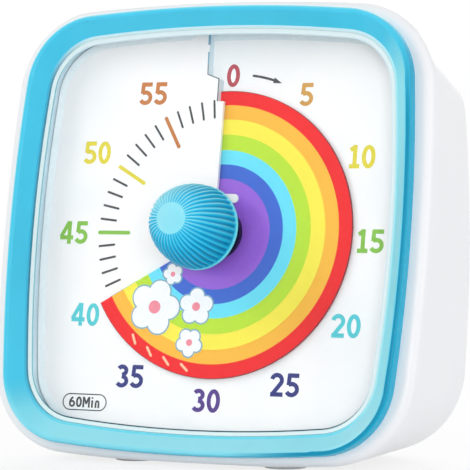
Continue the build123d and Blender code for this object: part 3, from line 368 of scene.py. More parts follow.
knob_painted_light_side = upward * 0.85 - across * 0.5
knob_painted_lit_start, knob_painted_lit_end = -0.35, 0.55  # how far a slope faces that side as its painted lit tones come in
knob_painted_shade_tones = [(0.0, srgb(0, 128, 178)), (0.3, srgb(0, 160, 212)), (0.55, srgb(16, 192, 238)),
              (0.8, srgb(92, 226, 251)), (1.0, srgb(146, 238, 255))]
knob_painted_lit_tones = [(0.0, srgb(72, 198, 226)), (0.3, srgb(112, 218, 240)), (0.55, srgb(150, 236, 251)),
                  (0.8, srgb(176, 246, 255)), (1.0, srgb(168, 242, 254))]


def ribbed_blue():
    """The knob's blue with painted light and shade: painted shade in the grooves, painted light on its front, its
    rim and the side that faces up and left.
    """
    finish = Finish("ribbed_blue", 0.3, Specular_IOR_Level=0.22)
    tone = finish.attribute("rib_painted_light")
    slope = finish.dot(finish.normal(), knob_painted_light_side)
    lit = finish.between(slope, knob_painted_lit_start, knob_painted_lit_end, smooth=True)
    finish.paint(finish.mixed(lit, finish.ramp(tone, knob_painted_shade_tones), finish.ramp(tone, knob_painted_lit_tones)))
    finish.roughness(finish.noise(3.0), 0.28, 0.32)
    finish.relief(finish.noise(0.3, detail=1.0), 0.0003)
    return finish.material


def clear_acrylic():
    """Clear acrylic that lets the lamps through to the dial."""
    finish = Finish("clear_acrylic", 0.02, Transmission_Weight=1.0, IOR=1.3)
    finish.colours(finish.noise(12.0), srgb(250, 253, 255), srgb(255, 255, 255))
    rays = finish.node("ShaderNodeLightPath")
    through = finish.node("ShaderNodeBsdfTransparent")
    finish.show(rays.outputs["Is Shadow Ray"], through.outputs["BSDF"])
    return finish.material


def axis_distance(finish):
    """Distance of a point from the knob's axis, in metres."""
    from_centre = finish.vector_maths("SUBTRACT", finish.place, dial_centre)
    sideways = finish.vector_maths("CROSS_PRODUCT", from_centre, outward)
    return finish.vector_maths("LENGTH", sideways, output="Value")


# the outer edge of each printed band as a share of the disc's radius, and the disc's dark rim, which is painted
# shade
band_edges = [
    (0.385, srgb(158, 102, 224)),
    (0.483, srgb(56, 106, 212)),
    (0.585, srgb(106, 228, 250)),
    (0.69, srgb(190, 230, 52)),
    (0.80, srgb(253, 238, 76)),
    (0.90, srgb(253, 188, 60)),
    (0.994, srgb(243, 24, 30)),
    # painted shade: a dark line along the disc's edge
    (1.02, srgb(124, 26, 42)),
]


def rainbow_print():
    """Seven printed rings and a rim of painted shade: the colour follows the distance from the knob's axis."""
    finish = Finish("rainbow_print", 0.45, Specular_IOR_Level=0.15)
    share = finish.maths("DIVIDE", axis_distance(finish), disc_radius * mm * band_edges[-1][0])
    starts = [0.0, *[edge / band_edges[-1][0] for edge, colour in band_edges[:-1]]]
    stops = [(start, colour) for start, (edge, colour) in zip(starts, band_edges)]
    finish.paint(finish.flecked(finish.ramp(share, stops, "CONSTANT"), 0.5, 249, detail=3.0))
    finish.roughness(finish.noise(4.0), 0.42, 0.5)
    finish.relief(finish.noise(0.3), 0.002)
    return finish.material


thin_ink = 0.93  # tone of the ink where its film is uneven


def printed(name, colour):
    """Screen-printed ink or painted light and shade, with a slightly uneven film."""
    finish = Finish(name, 0.45)
    darker = tuple(thin_ink * value for value in colour[:3]) + (1.0,)
    finish.colours(finish.noise(0.4, detail=3.0), darker, colour)
    finish.roughness(finish.noise(1.0), 0.4, 0.5)
    return finish.material


hub_painted_shade_reach = 5.0  # radius of the hub's barrel that is painted dark as shade
hub_painted_shade_fade = 0.1


def hub_nylon():
    """White key tab; the hub's barrel behind the knob is painted near black, as painted shade under the knob."""
    finish = Finish("hub_nylon", 0.5)
    reach = finish.between(axis_distance(finish), hub_painted_shade_reach * mm, (hub_painted_shade_reach + hub_painted_shade_fade) * mm)
    finish.paint(finish.ramp(reach, [(0.0, srgb(22, 14, 50)), (1.0, srgb(247, 247, 246))]))
    finish.relief(finish.noise(0.3), 0.002)
    return finish.material


def frame_white():
    """The dial frame round the dial: white with painted blue light, as reflected from the bezel."""
    return moulded("frame_white", srgb(208, 236, 249), srgb(216, 240, 251), (0.35, 0.45), depth=0.002)


track_spacing = 2.4


def board_green():
    """Green solder mask with the faint relief of its copper tracks."""
    finish = Finish("board_green", 0.3, Coat_Weight=0.4)
    tracks = finish.node("ShaderNodeTexVoronoi", feature="DISTANCE_TO_EDGE", distance="MANHATTAN")
    tracks.inputs["Scale"].default_value = 1 / (track_spacing * mm)
    finish.join(finish.place, tracks.inputs["Vector"])
    from_track = tracks.outputs["Distance"]
    finish.paint(finish.ramp(from_track, [(0.06, srgb(60, 140, 84)), (0.11, srgb(22, 92, 52))]))
    finish.relief(from_track, 0.01)
    return finish.material


turn_scale = 4.0  # a turn shows about a third as wide


def wound_copper():
    """Enamelled wire laid in fine turns along the coil."""
    finish = Finish("wound_copper", 0.3, Metallic=1.0)
    turns = finish.node("ShaderNodeTexWave", wave_type="BANDS", bands_direction="Z", wave_profile="SIN")
    turns.inputs["Scale"].default_value = 1 / (turn_scale * mm)
    turns.inputs["Distortion"].default_value = 0.6
    finish.join(finish.place, turns.inputs["Vector"])
    finish.colours(turns.outputs["Fac"], srgb(142, 70, 36), srgb(214, 128, 74))
    finish.relief(turns.outputs["Fac"], 0.02)
    return finish.material


def cell_jacket():
    """A generic battery sleeve: plain silver with one wide green band."""
    low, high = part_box("battery_cell")
    finish = Finish("cell_jacket", 0.3, Metallic=0.6)
    along = finish.between(finish.coordinate("X"), low.x, high.x)
    silver, green = srgb(190, 193, 198), srgb(54, 140, 90)
    stops = [(0.0, silver), (0.06, green), (0.7, silver), (0.94, srgb(150, 153, 158))]
    finish.paint(finish.ramp(along, stops, "CONSTANT"))
    finish.roughness(finish.noise(2.0), 0.22, 0.36)
    return finish.material


black_parts = moulded("black_parts", srgb(26, 27, 29), srgb(38, 39, 42), (0.42, 0.6), depth=0.008)
finishes = {
    "white_case": case_white(),
    "blue_gloss": gloss_blue(),
    "clear_lens": clear_acrylic(),
    "foam": moulded("foam", srgb(196, 199, 203), srgb(214, 217, 220), (0.85, 0.95), grain=0.4, depth=0.06),
    "rubber_pad": moulded("rubber_pad", srgb(232, 233, 235), srgb(242, 243, 244), (0.65, 0.8), depth=0.01),
    "dial_white": moulded("dial_white", srgb(249, 248, 248), srgb(251, 251, 250), (0.3, 0.42), depth=0.002),
    "disc_print": rainbow_print(),
    "white_nylon": moulded("white_nylon", srgb(232, 232, 228), srgb(243, 243, 240), (0.4, 0.52)),
    "steel": metal("steel", srgb(150, 154, 160), srgb(196, 199, 204), (0.18, 0.34)),
    "brass_turned": metal("brass", srgb(176, 140, 72), srgb(214, 180, 104), (0.16, 0.3)),
    "movement_black": moulded("movement_black", srgb(30, 31, 34), srgb(42, 43, 47), (0.5, 0.65), depth=0.01),
    "gear_plastic": moulded("gear_plastic", srgb(224, 222, 210), srgb(238, 236, 226), (0.35, 0.5)),
    "magnet": metal("magnet", srgb(92, 94, 98), srgb(120, 122, 127), (0.35, 0.5)),
    "copper_wire": wound_copper(),
    "board_green": board_green(),
    "chip_black": black_parts,
    "crystal_can": metal("crystal_can", srgb(176, 178, 182), srgb(214, 216, 220), (0.2, 0.32)),
    "cell_jacket": cell_jacket(),
    "switch_body": moulded("switch_body", srgb(210, 211, 214), srgb(226, 227, 229), (0.3, 0.45)),
    "slider_black": black_parts,
}
for row in frame["record"]["subparts"]:
    slots = frame["nodes"][row["node"]].data.materials
    slots.clear()
    slots.append(finishes[row["material_slot"]])

# pieces that look different from the others in their slot
own_finishes = {
    "disc_hub": hub_nylon(),
    # the collar is painted near black, as painted shade under the knob
    "disc_collar": moulded("collar_painted_shade", srgb(24, 14, 52), srgb(32, 20, 62), (0.5, 0.6), depth=0.003),
    "dial_frame": frame_white(),
}
for node_name, finish in own_finishes.items():
    frame["nodes"][node_name].data.materials[0] = finish


# ---- flat prints ----------------------------------------------------------------------------------
def arc(centre, radii, start, end, steps):
    """Points of an elliptic arc, angles in degrees anticlockwise from the right."""
    points = []
    for step in range(steps + 1):
        turn = math.radians(start + (end - start) * step / steps)
        points.append((centre[0] + radii[0] * math.cos(turn), centre[1] + radii[1] * math.sin(turn)))
    return points


def stroke(path, width, closed=False):
    """The quads that a pen of that width leaves along a smooth path."""
    count = len(path)
    sides = []
    for index, point in enumerate(path):
        before = path[index - 1] if index or closed else point
        after = path[(index + 1) % count] if index + 1 < count or closed else point
        along = Vector((after[0] - before[0], after[1] - before[1])).normalized()
        normal = Vector((-along.y, along.x)) * width / 2
        sides.append((Vector(point) - normal, Vector(point) + normal))
    quads = []
    for index in range(count if closed else count - 1):
        (right, left), (next_right, next_left) = sides[index], sides[(index + 1) % count]
        quads.append([right, next_right, next_left, left])
    return quads


def bar(start, end, width, round_ends=False):
    """A straight stroke, with round ends if asked."""
    shapes = stroke([start, end], width)
    if round_ends:
        shapes += [disc_shape(start, width / 2), disc_shape(end, width / 2)]
    return shapes


def disc_shape(centre, radius, steps=24):
    return [Vector(point) for point in arc(centre, (radius, radius), 0, 360, steps)[:-1]]


inside_only = 1  # keeps the triangles that lie inside a loop
weld_distance = 1e-6


def flatten(shapes):
    """The union of overlapping flat shapes, as points and triangles."""
    points, loops = [], []
    for shape in shapes:
        loops.append(list(range(len(points), len(points) + len(shape))))
        points.extend(shape)
    out_points, _, triangles, _, _, sources = delaunay_2d_cdt(points, [], loops, inside_only, weld_distance)
    return out_points, [face for face, source in zip(triangles, sources) if source]


def mesh_data(name, mesh, sharp_angle=None):
    """The mesh as object data, shaded smooth up to the sharp angle if there is one."""
    data = bpy.data.meshes.new(name)
    mesh.to_mesh(data)
    mesh.free()
    if sharp_angle is not None:
        data.shade_smooth()
        data.set_sharp_from_angle(angle=sharp_angle)
    return data


def add_piece(name, data, material, body):
    """A piece of the scene on a body, with its material."""
    piece = bpy.data.objects.new(name, data)
    data.materials.append(material)
    bpy.context.scene.collection.objects.link(piece)
    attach(piece, body)
    return piece


def lay_print(name, shapes, surface, material, body, lift=0.0):
    """A thin print or painted shadow line: a closed film that follows a surface of the face frame, raised by lift.
    """
    points, triangles = flatten(shapes)
    mesh = bmesh.new()
    film = []
    for height in (lift + ink, lift - ink_root):
        film.append([mesh.verts.new(on_face(p.x, p.y, surface(p.x, p.y) + height)) for p in points])
    top, bottom = film
    rims = {}
    for face in triangles:
        mesh.faces.new([top[corner] for corner in face])
        mesh.faces.new([bottom[corner] for corner in reversed(face)])
        for start, end in zip(face, (*face[1:], face[0])):
            if rims.pop((end, start), None) is None:
                rims[(start, end)] = True
    for start, end in rims:
        mesh.faces.new([top[end], top[start], bottom[start], bottom[end]])
    loose = [vertex for vertex in mesh.verts if not vertex.link_faces]
    bmesh.ops.delete(mesh, geom=loose, context="VERTS")
    add_piece(name, mesh_data(name, mesh), material, body)


film_sharp_angle = math.radians(40)


def film_shell(name, rows, inwards, around=True):
    """A thin closed film through rows of scene points, with its back film_depth inwards."""
    mesh = bmesh.new()
    front = [[mesh.verts.new(point) for point in row] for row in rows]
    back = [[mesh.verts.new(point + film_depth * mm * inwards) for point in row] for row in rows]
    loops = front + back[::-1]
    count = len(rows[0])
    for start, end in zip(loops, loops[1:] + loops[:1]):
        for index in range(count if around else count - 1):
            after = (index + 1) % count
            mesh.faces.new([start[index], start[after], end[after], end[index]])
    if not around:
        mesh.faces.new([loop[0] for loop in loops])
        mesh.faces.new([loop[-1] for loop in reversed(loops)])
    bmesh.ops.recalc_face_normals(mesh, faces=mesh.faces)
    return mesh_data(name, mesh, film_sharp_angle)


# Each glyph returns its width and the strokes of its pen, in a box one unit high.
pen = 0.185
half = pen / 2


def glyph_0():
    return 0.62, stroke(arc((0.31, 0.5), (0.31 - half, 0.5 - half), 0, 360, 40)[:-1], pen, closed=True)


def glyph_1():
    flag = bar((0.29, 0.94), (0.06, 0.78), pen)
    return 0.5, flag + bar((0.27, 0.02), (0.27, 1), pen) + bar((0.03, half), (0.5, half), pen)


def glyph_2():
    bowl = arc((0.32, 0.685), (0.32 - half, 0.315 - half), 168, -30, 18)
    return 0.64, stroke(bowl + [(0.14, 0.1)], pen) + bar((0.05, half), (0.62, half), pen)


def glyph_3():
    upper = arc((0.3, 0.735), (0.29 - half, 0.265 - half), 150, -92, 16)
    lower = arc((0.3, 0.29), (0.325 - half, 0.29 - half), 92, -152, 16)
    return 0.62, stroke(upper, pen) + stroke(lower, pen)


def glyph_4():
    slope = bar((0.45, 0.97), (0.07, 0.3), pen)
    return 0.68, slope + bar((0.48, 0), (0.48, 1), pen) + bar((0.03, 0.28), (0.68, 0.28), pen)


def glyph_5():
    corner = bar((0.1, 1 - half), (0.6, 1 - half), pen) + bar((0.17, 0.97), (0.14, 0.5), pen)
    return 0.63, corner + stroke(arc((0.29, 0.325), (0.34 - half, 0.325 - half), 128, -152, 18), pen)


def glyph_6():
    bowl = stroke(arc((0.33, 0.325), (0.33 - half, 0.325 - half), 0, 360, 28)[:-1], pen, closed=True)
    return 0.66, bowl + stroke(arc((0.62, 0.36), (0.62 - half, 0.6), 180, 112, 10), pen)


def glyph_capital_m():
    legs = bar((0.09, 0), (0.09, 1), pen) + bar((0.69, 0), (0.69, 1), pen)
    return 0.78, legs + bar((0.12, 0.96), (0.4, 0.34), pen) + bar((0.66, 0.96), (0.38, 0.34), pen)


def glyph_i():
    return 0.3, bar((0.15, 0), (0.15, 0.7), pen) + bar((0.15, 0.84), (0.15, 0.98), pen)


def glyph_n():
    arch = arc((0.3, 0.5), (0.3 - half - 0.075, 0.22 - half), 0, 180, 10)
    return 0.6, stroke(arch, pen) + bar((0.15, 0), (0.15, 0.5), pen) + bar((0.45, 0), (0.45, 0.5), pen)


glyphs = {
    "0": glyph_0, "1": glyph_1, "2": glyph_2, "3": glyph_3, "4": glyph_4, "5": glyph_5, "6": glyph_6,
    "M": glyph_capital_m, "i": glyph_i, "n": glyph_n,
}
letter_gap = 0.09


def lettering(text, centre, height):
    """The flat shapes of a line of text centred on a point."""
    rows, pen_x = [], 0.0
    for character in text:
        width, shapes = glyphs[character]()
        rows.append((pen_x, shapes))
        pen_x += width + letter_gap
    middle = Vector(((pen_x - letter_gap) / 2, 0.5))
    return [
        [Vector(centre) + height * (point + Vector((start, 0)) - middle) for point in shape]
        for start, shapes in rows
        for shape in shapes
    ]


# the minute and the radius of each numeral's middle
numeral_places = [(0, 31.2), (5.08, 31.6), (10.35, 32.3), (15.29, 31.5), (20.26, 32.5), (25.11, 32.7),
                  (30.06, 32.1), (35.22, 32.8), (39.97, 32.3), (44.98, 31.9), (49.93, 32.1), (54.89, 32.0)]
numeral_height = 4.5
minutes_per_numeral = 5
inks = {
    "red": printed("ink_red", srgb(186, 60, 76)),
    "orange": printed("ink_orange", srgb(200, 118, 42)),
    "amber": printed("ink_amber", srgb(212, 156, 62)),
    "yellow": printed("ink_yellow", srgb(230, 215, 40)),
    "green": printed("ink_green", srgb(130, 194, 58)),
    "turquoise": printed("ink_turquoise", srgb(72, 205, 214)),
    "navy": printed("ink_navy", srgb(0, 22, 120)),
    "purple": printed("ink_purple", srgb(72, 32, 134)),
    "grey": printed("ink_grey", srgb(50, 54, 56)),
}
numeral_inks = ["red", "amber", "yellow", "green", "turquoise", "navy", "purple", "navy", "turquoise",
                "green", "yellow", "orange"]


def print_on_dial(name, shapes, ink_name):
    lay_print(name, shapes, dial_surface, inks[ink_name], "case")


for index, (place, ink_name) in enumerate(zip(numeral_places, numeral_inks)):
    minute = minutes_per_numeral * index
    print_on_dial(f"numeral_{minute:02d}", lettering(str(minute), polar(*place), numeral_height), ink_name)

tick_outer, tick_inner, long_tick_inner = (share * disc_radius for share in (0.929, 0.812, 0.700))
tick_width, long_tick_width = 0.43, 0.74
short_ticks = []
for minute in range(1, dial_minutes):
    outer_end = polar(minute, tick_outer)
    if minute % minutes_per_numeral:
        short_ticks += bar(polar(minute, tick_inner), outer_end, tick_width, round_ends=True)
    else:
        mark = bar(polar(minute, long_tick_inner), outer_end, long_tick_width, round_ends=True)
        print_on_dial(f"tick_{minute:02d}", mark, numeral_inks[minute // minutes_per_numeral])
print_on_dial("minute_ticks", short_ticks, "grey")

arrow_radius = 31.4
arrow_from, arrow_to, arrow_neck = 1.34, 3.3, 2.72  # minutes
arrow_width, arrow_head_reach = 0.46, 0.56
arrow_droop = 0.05
arrow_steps = 8
arrow_line = [polar(arrow_from + (arrow_neck - arrow_from) * step / arrow_steps, arrow_radius)
              for step in range(arrow_steps + 1)]
arrow_head = [Vector(polar(arrow_to, arrow_radius - arrow_droop)),
              Vector(polar(arrow_neck, arrow_radius + arrow_head_reach)),
              Vector(polar(arrow_neck, arrow_radius - arrow_head_reach))]
arrow_tail = disc_shape(arrow_line[0], arrow_width / 2)
print_on_dial("arrow", stroke(arrow_line, arrow_width) + [arrow_head, arrow_tail], "grey")

pill_centre = (-26.55, -33.4)
pill_size = (9.6, 3.1)
pill_line = 0.22
pill_letter_height = 2.08
pill_end = pill_size[1] / 2
pill_reach = pill_size[0] / 2 - pill_end
pill_path = []
for side, start in ((1, -90), (-1, 90)):
    end_centre = (pill_centre[0] + side * pill_reach, pill_centre[1])
    pill_path += arc(end_centre, (pill_end, pill_end), start, start + 180, 16)
range_text = lettering("60Min", pill_centre, pill_letter_height)
print_on_dial("range_mark", stroke(pill_path, pill_line, closed=True) + range_text, "grey")


# ---- the step in the dial -------------------------------------------------------------------------
step_shadow = printed("step_shadow", srgb(54, 70, 74))
step_soft_shadow = printed("step_soft_shadow", srgb(116, 168, 194))
# painted shadow lines along the step: sharp near the disc, softer further up
step_edge = [(-2.1, 25.8), (-2.1, 30.25), (-4.6, 31.15), (-4.66, 33.0)]
step_line_width = 0.2
upper_edge, upper_width = [(-4.66, 33.0), (-4.72, 35.6)], 0.28
top_edge, top_width = [(-4.72, 37.0), (-4.78, 39.6)], 0.5
lay_print("step_line", bar(*step_edge[:2], step_line_width) + stroke(step_edge[1:], step_line_width),
          spiral, step_shadow, "case")
lay_print("step_soft_line", bar(*upper_edge, upper_width) + bar(*top_edge, top_width),
          spiral, step_soft_shadow, "case")
# a pale bluish film on the step's wall: painted light where the wall is in shade
wall_corners = (25.81, 30.19, 30.65, 31.12, 34.0, 37.0, 39.6)  # y at the film's corners
wall_lift = 0.02  # how far the film stands off the step's wall
wall_top = spiral(-4.7, 36)
wall_rows = [[on_face(slit_at(y) + wall_lift, y, height) for y in wall_corners]
             for height in (dial_low, wall_top)]
add_piece("step_wall", film_shell("step_wall", wall_rows, -across, around=False),
          printed("step_wall_painted_light", srgb(226, 244, 251)), "case")


# ---- the disc's printed blossoms ------------------------------------------------------------------
petal_count = 5
petal_reach, petal_share, middle_share, heart_share = 0.58, 0.42, 0.5, 0.24  # of a blossom's radius
outline_width = 0.3


def blossom(centre, radius, first, grow=0.0):
    """Round petals about a point, the first at an angle in degrees, each larger by grow."""
    shapes = [disc_shape(centre, middle_share * radius + grow)]
    for petal in range(petal_count):
        turn = math.radians(first + 360 * petal / petal_count)
        reach = petal_reach * radius
        middle = (centre[0] + reach * math.cos(turn), centre[1] + reach * math.sin(turn))
        shapes.append(disc_shape(middle, petal_share * radius + grow, steps=28))
    return shapes


def print_on_disc(name, shapes, material, lift=0.0):
    lay_print(name, shapes, disc_surface, material, "disc", lift)


petal_white = printed("petal_white", srgb(250, 252, 254))
petal_line = printed("petal_line", srgb(128, 176, 196))
heart_pink = printed("heart_pink", srgb(246, 140, 156))
peach = printed("peach", srgb(252, 200, 160))
# the minute and the radius of each blossom's middle, and its size
blossoms = [(36.7, 19.0, 5.3), (32.2, 14.6, 3.5), (37.9, 11.9, 2.0), (31.9, 21.6, 2.7)]
blossom_turn = 17  # degrees from one blossom to the next
for index, (minute, radius, size) in enumerate(blossoms):
    centre, first = polar(minute, radius), blossom_turn * index
    print_on_disc(f"blossom_line_{index}", blossom(centre, size, first, outline_width), petal_line)
    print_on_disc(f"blossom_{index}", blossom(centre, size, first), petal_white, ink)
    print_on_disc(f"blossom_heart_{index}", [disc_shape(centre, heart_share * size)], heart_pink, 2 * ink)

dash_count, dash_width = 4, 0.5
dash_first, dash_spacing, dash_slant = 36.6, 1.5, 0.55  # minutes
dash_inner, dash_outer = 26.0, 26.9
dashes = []
for index in range(dash_count):
    minute = dash_first - dash_spacing * index
    start, end = polar(minute, dash_inner), polar(minute - dash_slant, dash_outer)
    dashes += bar(start, end, dash_width, round_ends=True)
print_on_disc("dashes", dashes, peach)


# ---- painted light and shade round the lens's polished edge ---------------------------------------
lens_front = 4.9  # height of the lens's flat face
film = 0.015  # how far the edge's films stand off the lens
edge_width = 0.2  # of the painted white highlight on the flat face
edge_line = 0.25  # width of the line of painted shade and light inside it
level_slack = 0.02  # how far a point may be from the level that is looked for
far_from_centre = 30.0


def level_loop(node_name, height):
    """The outermost points of a CAD node at one height, in order round the dial's centre."""
    points = {}
    for vertex in frame["nodes"][node_name].data.vertices:
        offset = (vertex.co - dial_centre) / mm
        if abs(offset.dot(outward) - height) < level_slack:
            point = Vector((offset.dot(across), offset.dot(upward)))
            if point.length > far_from_centre:
                points[round(math.atan2(point.y, point.x), 4)] = point
    return [points[turn] for turn in sorted(points)]


def ways_round(loop):
    """The loop's direction at each of its points."""
    neighbours = zip(loop[-1:] + loop[:-1], loop[1:] + loop[:1])
    return [(after - before).normalized() for before, after in neighbours]


def inset(loop, width):
    """A loop moved inwards."""
    return [point + width * Vector((-way.y, way.x)) for point, way in zip(loop, ways_round(loop))]


edge_roughness = (0.15, 0.25)


def sided(name, side_stops, rise_stops):
    """A finish of painted light and shade, whose colour goes from left to right on uprights and from bottom to top
    on level runs.
    """
    finish = Finish(name, sum(edge_roughness) / 2)
    rise = finish.ramp(finish.attribute("rise"), rise_stops)
    side = finish.ramp(finish.attribute("side"), side_stops)
    finish.paint(finish.mixed(finish.attribute("turn"), rise, side))
    finish.roughness(finish.noise(2.0), *edge_roughness)
    finish.relief(finish.noise(0.3), 0.0005)
    return finish.material


lens_flat = level_loop("lens", lens_front)


def edge_band(name, rows, finish):
    """A film of painted light and shade round the lens, through rows of (distance outside the lens's flat face,
    height).

    Its attributes follow the way anticlockwise round the lens: side is 0 where it runs down and 1
    where it runs up, rise is 0 where it runs right and 1 where it runs left, turn is 1 on uprights.
    """
    data = film_shell(name, [[on_face(p.x, p.y, height) for p in inset(lens_flat, -distance)]
                             for distance, height in rows], -outward)
    ways = ways_round(lens_flat)
    kinds = {
        "side": [0.5 + 0.5 * way.y for way in ways],
        "rise": [0.5 - 0.5 * way.x for way in ways],
        "turn": [way.y * way.y for way in ways],
    }
    for kind, values in kinds.items():
        data.attributes.new(kind, "FLOAT", "POINT").data.foreach_set("value", values * 2 * len(rows))
    add_piece(name, data, finish, "case")


sight_foot, sight_edge, lens_rim = 1.3, 0.7, 0.5  # distances outside the lens's flat face
sight_height, rim_height = 5.6, 5.15  # of the bezel's inner land and of the lens's rim
sight_level, front_level = sight_height + film, lens_front + film
# painted light and shade on the bezel's inner land and wall: darker on the left, lighter on the right and at the
# top
edge_band("sight_flat", [(sight_foot, sight_level), (sight_edge, sight_level)],
          sided("sight_flat", [(0.3, srgb(52, 190, 226)), (0.7, srgb(180, 242, 251))],
                [(0.3, srgb(112, 228, 248)), (0.7, srgb(212, 246, 252))]))
edge_band("sight_wall", [(sight_edge, sight_level), (lens_rim, rim_height)],
          sided("sight_wall", [(0.3, srgb(60, 150, 176)), (0.7, srgb(208, 246, 252))],
                [(0.3, srgb(112, 204, 222)), (0.7, srgb(228, 250, 252))]))
# a painted white highlight all round the lens's rim, and inside it a line of painted shade, darkest at the bottom
edge_painted_highlight_tones = [(0.0, srgb(236, 254, 255)), (1.0, srgb(236, 253, 255))]
edge_band("lens_edge", [(lens_rim, rim_height), (0.0, front_level), (-edge_width, front_level)],
          sided("lens_edge", edge_painted_highlight_tones, edge_painted_highlight_tones))
edge_band("lens_edge_line", [(-edge_width, front_level), (-edge_width - edge_line, front_level)],
          sided("lens_edge_line", [(0.2, srgb(128, 200, 212)), (0.8, srgb(228, 246, 250))],
                [(0.2, srgb(16, 84, 98)), (0.6, srgb(212, 231, 239))]))

corner_light_wall, corner_light_foot, corner_light_rise = 0.76, -0.3, 0.9  # a pale film across the corner between the dial and its frame, painted light over the corner's shade
corner_light_rows = [(inset(lens_flat, -corner_light_wall), corner_light_rise), (inset(lens_flat, -corner_light_foot), ink)]
corner_light_data = film_shell("dial_corner_painted_light", [[on_face(p.x, p.y, dial_surface(p.x, p.y) + rise) for p in loop]
                                     for loop, rise in corner_light_rows], -outward)
add_piece("dial_corner_painted_light", corner_light_data, printed("corner_painted_light", srgb(234, 246, 250)), "case")


# ---- ribbed knob ----------------------------------------------------------------------------------
rib_count = 42
rib_share = 0.32  # depth of the grooves, as a share of the ribs' spacing
steps_per_rib = 12
knob_columns = rib_count * steps_per_rib
knob_trim, rim_trim = 0.15, 0.08  # how far the ribs and the rim stay inside the plain knob
dome_rows = 48
rib_start = 8.8  # height above the printed level where the ribs rise from the rim
rim_gap = 0.1  # between the rim's last outline point and the ribs' start
rib_run_out, front_run_out = 0.35, 0.3  # lengths over which the ribs rise and fade
# painted light and shade on the knob: lighter rim, front and crests, darker grooves
rim_painted_highlight, front_painted_light = 0.9, 1.0
crest_painted_light = (0.64, 0.86)  # at the rim and at the front
groove_painted_shade = (0.06, 0.5)
tone_curve, groove_curve = 1.5, 0.6  # how the painted tones go up the dome and across a groove
hollow_radius, boss_radius, bore_radius = 6.6, 3.4, 2.02
knob_back, hollow_end, bore_end = 7.7, 13.6, 16.1  # heights
# (radius, height) inside the knob, from the back of its rim to the end of its bore
knob_inside = [(hollow_radius, knob_back), (hollow_radius, hollow_end), (boss_radius, hollow_end),
               (boss_radius, knob_back), (bore_radius, knob_back), (bore_radius, bore_end)]
knob_sharp_angle = math.radians(38)


def knob_outline():
    """(radius, height) along the CAD knob's outside, from the bottom of its rim to its front."""
    widest = {}
    for vertex in frame["nodes"]["knob"].data.vertices:
        offset = (vertex.co - dial_centre) / mm
        height = offset.dot(outward)
        radius = (offset - height * outward).length
        key = round(height, 2)
        widest[key] = max(widest.get(key, 0.0), radius)
    outline, reach = [], 0.0
    for height in sorted(widest, reverse=True):
        if widest[height] >= reach or height < rib_start:
            reach = widest[height]
            outline.insert(0, (reach, height))
    return outline


def even_rows(outline, count):
    """Points evenly spaced along an outline."""
    lengths = [0.0]
    for start, end in zip(outline, outline[1:]):
        lengths.append(lengths[-1] + math.dist(start, end))
    rows, index = [], 0
    for step in range(count + 1):
        target = lengths[-1] * step / count
        while index < len(lengths) - 2 and lengths[index + 1] < target:
            index += 1
        share = (target - lengths[index]) / (lengths[index + 1] - lengths[index])
        rows.append(tuple(a + (b - a) * share for a, b in zip(outline[index], outline[index + 1])))
    return rows


def smooth_step(value):
    value = min(max(value, 0.0), 1.0)
    return value * value * (3 - 2 * value)


def knob_rings():
    """Rings up the knob: radius, height, depth and direction of the grooves, and the crest's and groove's tones of
    painted light and shade.
    """
    outline = knob_outline()
    rim = [point for point in outline if point[1] < rib_start - rim_gap]
    dome_outline = [(rim[-1][0], rib_start)] + [point for point in outline if point[1] > rib_start]
    dome = even_rows(dome_outline, dome_rows)
    spacing = math.dist(dome[0], dome[1])
    rings = [(radius - rim_trim, height, 0.0, (1, 0), rim_painted_highlight, rim_painted_highlight) for radius, height in rim]
    for index, (radius, height) in enumerate(dome):
        before, after = dome[max(index - 1, 0)], dome[min(index + 1, dome_rows)]
        along = Vector((after[0] - before[0], after[1] - before[1])).normalized()
        rise = smooth_step(index * spacing / rib_run_out)
        fall = smooth_step((dome_rows - index) * spacing / front_run_out)
        depth = rib_share * 2 * math.pi * radius / rib_count * rise * fall
        plain = front_painted_light if index > dome_rows / 2 else rim_painted_highlight
        forward = (index / dome_rows) ** tone_curve
        crest, groove = (low + (high - low) * forward for low, high in (crest_painted_light, groove_painted_shade))
        crest, groove = (plain + (tone - plain) * min(rise, fall) for tone in (crest, groove))
        rings.append((radius - knob_trim, height, depth, (along.y, -along.x), crest, groove))
    return rings


def round_loop(mesh, radii, heights):
    """A loop of vertices about the knob's axis, with a radius and a height for each column."""
    loop = []
    for column, (radius, height) in enumerate(zip(radii, heights)):
        turn = 2 * math.pi * column / knob_columns
        loop.append(mesh.verts.new(on_face(radius * math.cos(turn), radius * math.sin(turn), height)))
    return loop


def knob_mesh():
    """The knob turned about its axis, with rounded ribs up its dome and a hollow inside."""
    mesh = bmesh.new()
    loops, tones = [], []
    across_ribs = [2 * (column % steps_per_rib) / steps_per_rib - 1 for column in range(knob_columns)]
    falls = [0.5 - 0.5 * math.cos(math.pi * place) for place in across_ribs]
    for radius, height, depth, (side, front), crest, groove in knob_rings():
        radii = [radius - depth * fall * side for fall in falls]
        heights = [height - depth * fall * front for fall in falls]
        loops.append(round_loop(mesh, radii, heights))
        # painted shade deepens towards the bottom of each groove
        tones += [crest + (groove - crest) * fall**groove_curve for fall in falls]
    for radius, height in knob_inside:
        loops.insert(0, round_loop(mesh, [radius] * knob_columns, [height] * knob_columns))
        tones += [crest_painted_light[0]] * knob_columns
    for lower, upper in zip(loops, loops[1:]):
        for column in range(knob_columns):
            after = (column + 1) % knob_columns
            mesh.faces.new([lower[column], lower[after], upper[after], upper[column]])
    mesh.faces.new(loops[-1])
    mesh.faces.new(list(reversed(loops[0])))
    data = mesh_data("ribbed_knob", mesh, knob_sharp_angle)
    data.attributes.new("rib_painted_light", "FLOAT", "POINT").data.foreach_set("value", tones)
    return data


ribbed_knob = add_piece("ribbed_knob", knob_mesh(), ribbed_blue(), "knob_shaft")
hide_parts("knob")


# ---- floor and light ------------------------------------------------------------------------------
floor_radius = 1.5
fade_start, fade_end = 0.12, 0.3  # distances from the object over which the floor turns white
near_glow = 0.8  # how white it is before the fade


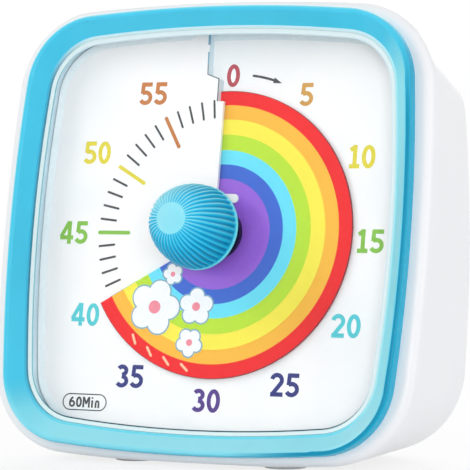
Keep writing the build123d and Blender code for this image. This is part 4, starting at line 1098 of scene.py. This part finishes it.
def floor_white():
    """White floor that keeps the shadow near the object and fades into the backdrop."""
    finish = Finish("floor_white", 0.6)
    finish.colours(finish.noise(60.0), srgb(244, 244, 245), srgb(248, 248, 249))
    distance = finish.vector_maths("LENGTH", finish.place, output="Value")
    far = finish.between(distance, fade_start, fade_end, low=near_glow, smooth=True)
    glow = finish.node("ShaderNodeEmission")
    glow.inputs["Color"].default_value = pure_white
    glow.inputs["Strength"].default_value = 1.0
    finish.show(finish.maths("MULTIPLY", far, finish.seen_directly()), glow.outputs["Emission"])
    return finish.material


floor_mesh = bmesh.new()
bmesh.ops.create_circle(floor_mesh, cap_ends=True, radius=floor_radius, segments=96)
floor_data = mesh_data("floor", floor_mesh)
floor_data.materials.append(floor_white())
floor = bpy.data.objects.new("floor", floor_data)
bpy.context.scene.collection.objects.link(floor)


def soft_light(name, place, size, power):
    """A square soft box that faces the dial, its size in metres and its power in watts."""
    data = bpy.data.lights.new(name, "AREA")
    data.size = size
    data.energy = power
    lamp = bpy.data.objects.new(name, data)
    lamp.location = place
    lamp.rotation_euler = (dial_centre - Vector(place)).to_track_quat("-Z", "Y").to_euler()
    bpy.context.scene.collection.objects.link(lamp)


soft_light("key", (-0.62, -0.39, 0.6), size=0.4, power=1.2)
soft_light("front", (0.42, -0.9, 0.06), size=0.5, power=3.1)
soft_light("fill", (0.86, -0.05, 0.22), size=0.4, power=1.0)
soft_light("back", (-0.3, 0.85, 0.4), size=0.5, power=1.8)

surround_strength = 0.62
world = bpy.data.worlds.new("studio")
bpy.context.scene.world = world
studio = ShaderTree(world)
surround = studio.nodes["Background"]
surround.inputs["Color"].default_value = srgb(253, 254, 255)
surround.inputs["Strength"].default_value = surround_strength
backdrop = studio.node("ShaderNodeBackground")
backdrop.inputs["Color"].default_value = pure_white
backdrop.inputs["Strength"].default_value = 1.0
studio.choose(studio.seen_directly(), surround.outputs["Background"], backdrop.outputs["Background"],
              studio.nodes["World Output"].inputs["Surface"])

scene = bpy.context.scene
scene.view_settings.view_transform = "Standard"
scene.cycles.use_denoising = True
scene.cycles.max_bounces = 12
scene.cycles.transmission_bounces = 10
scene.cycles.transparent_max_bounces = 12
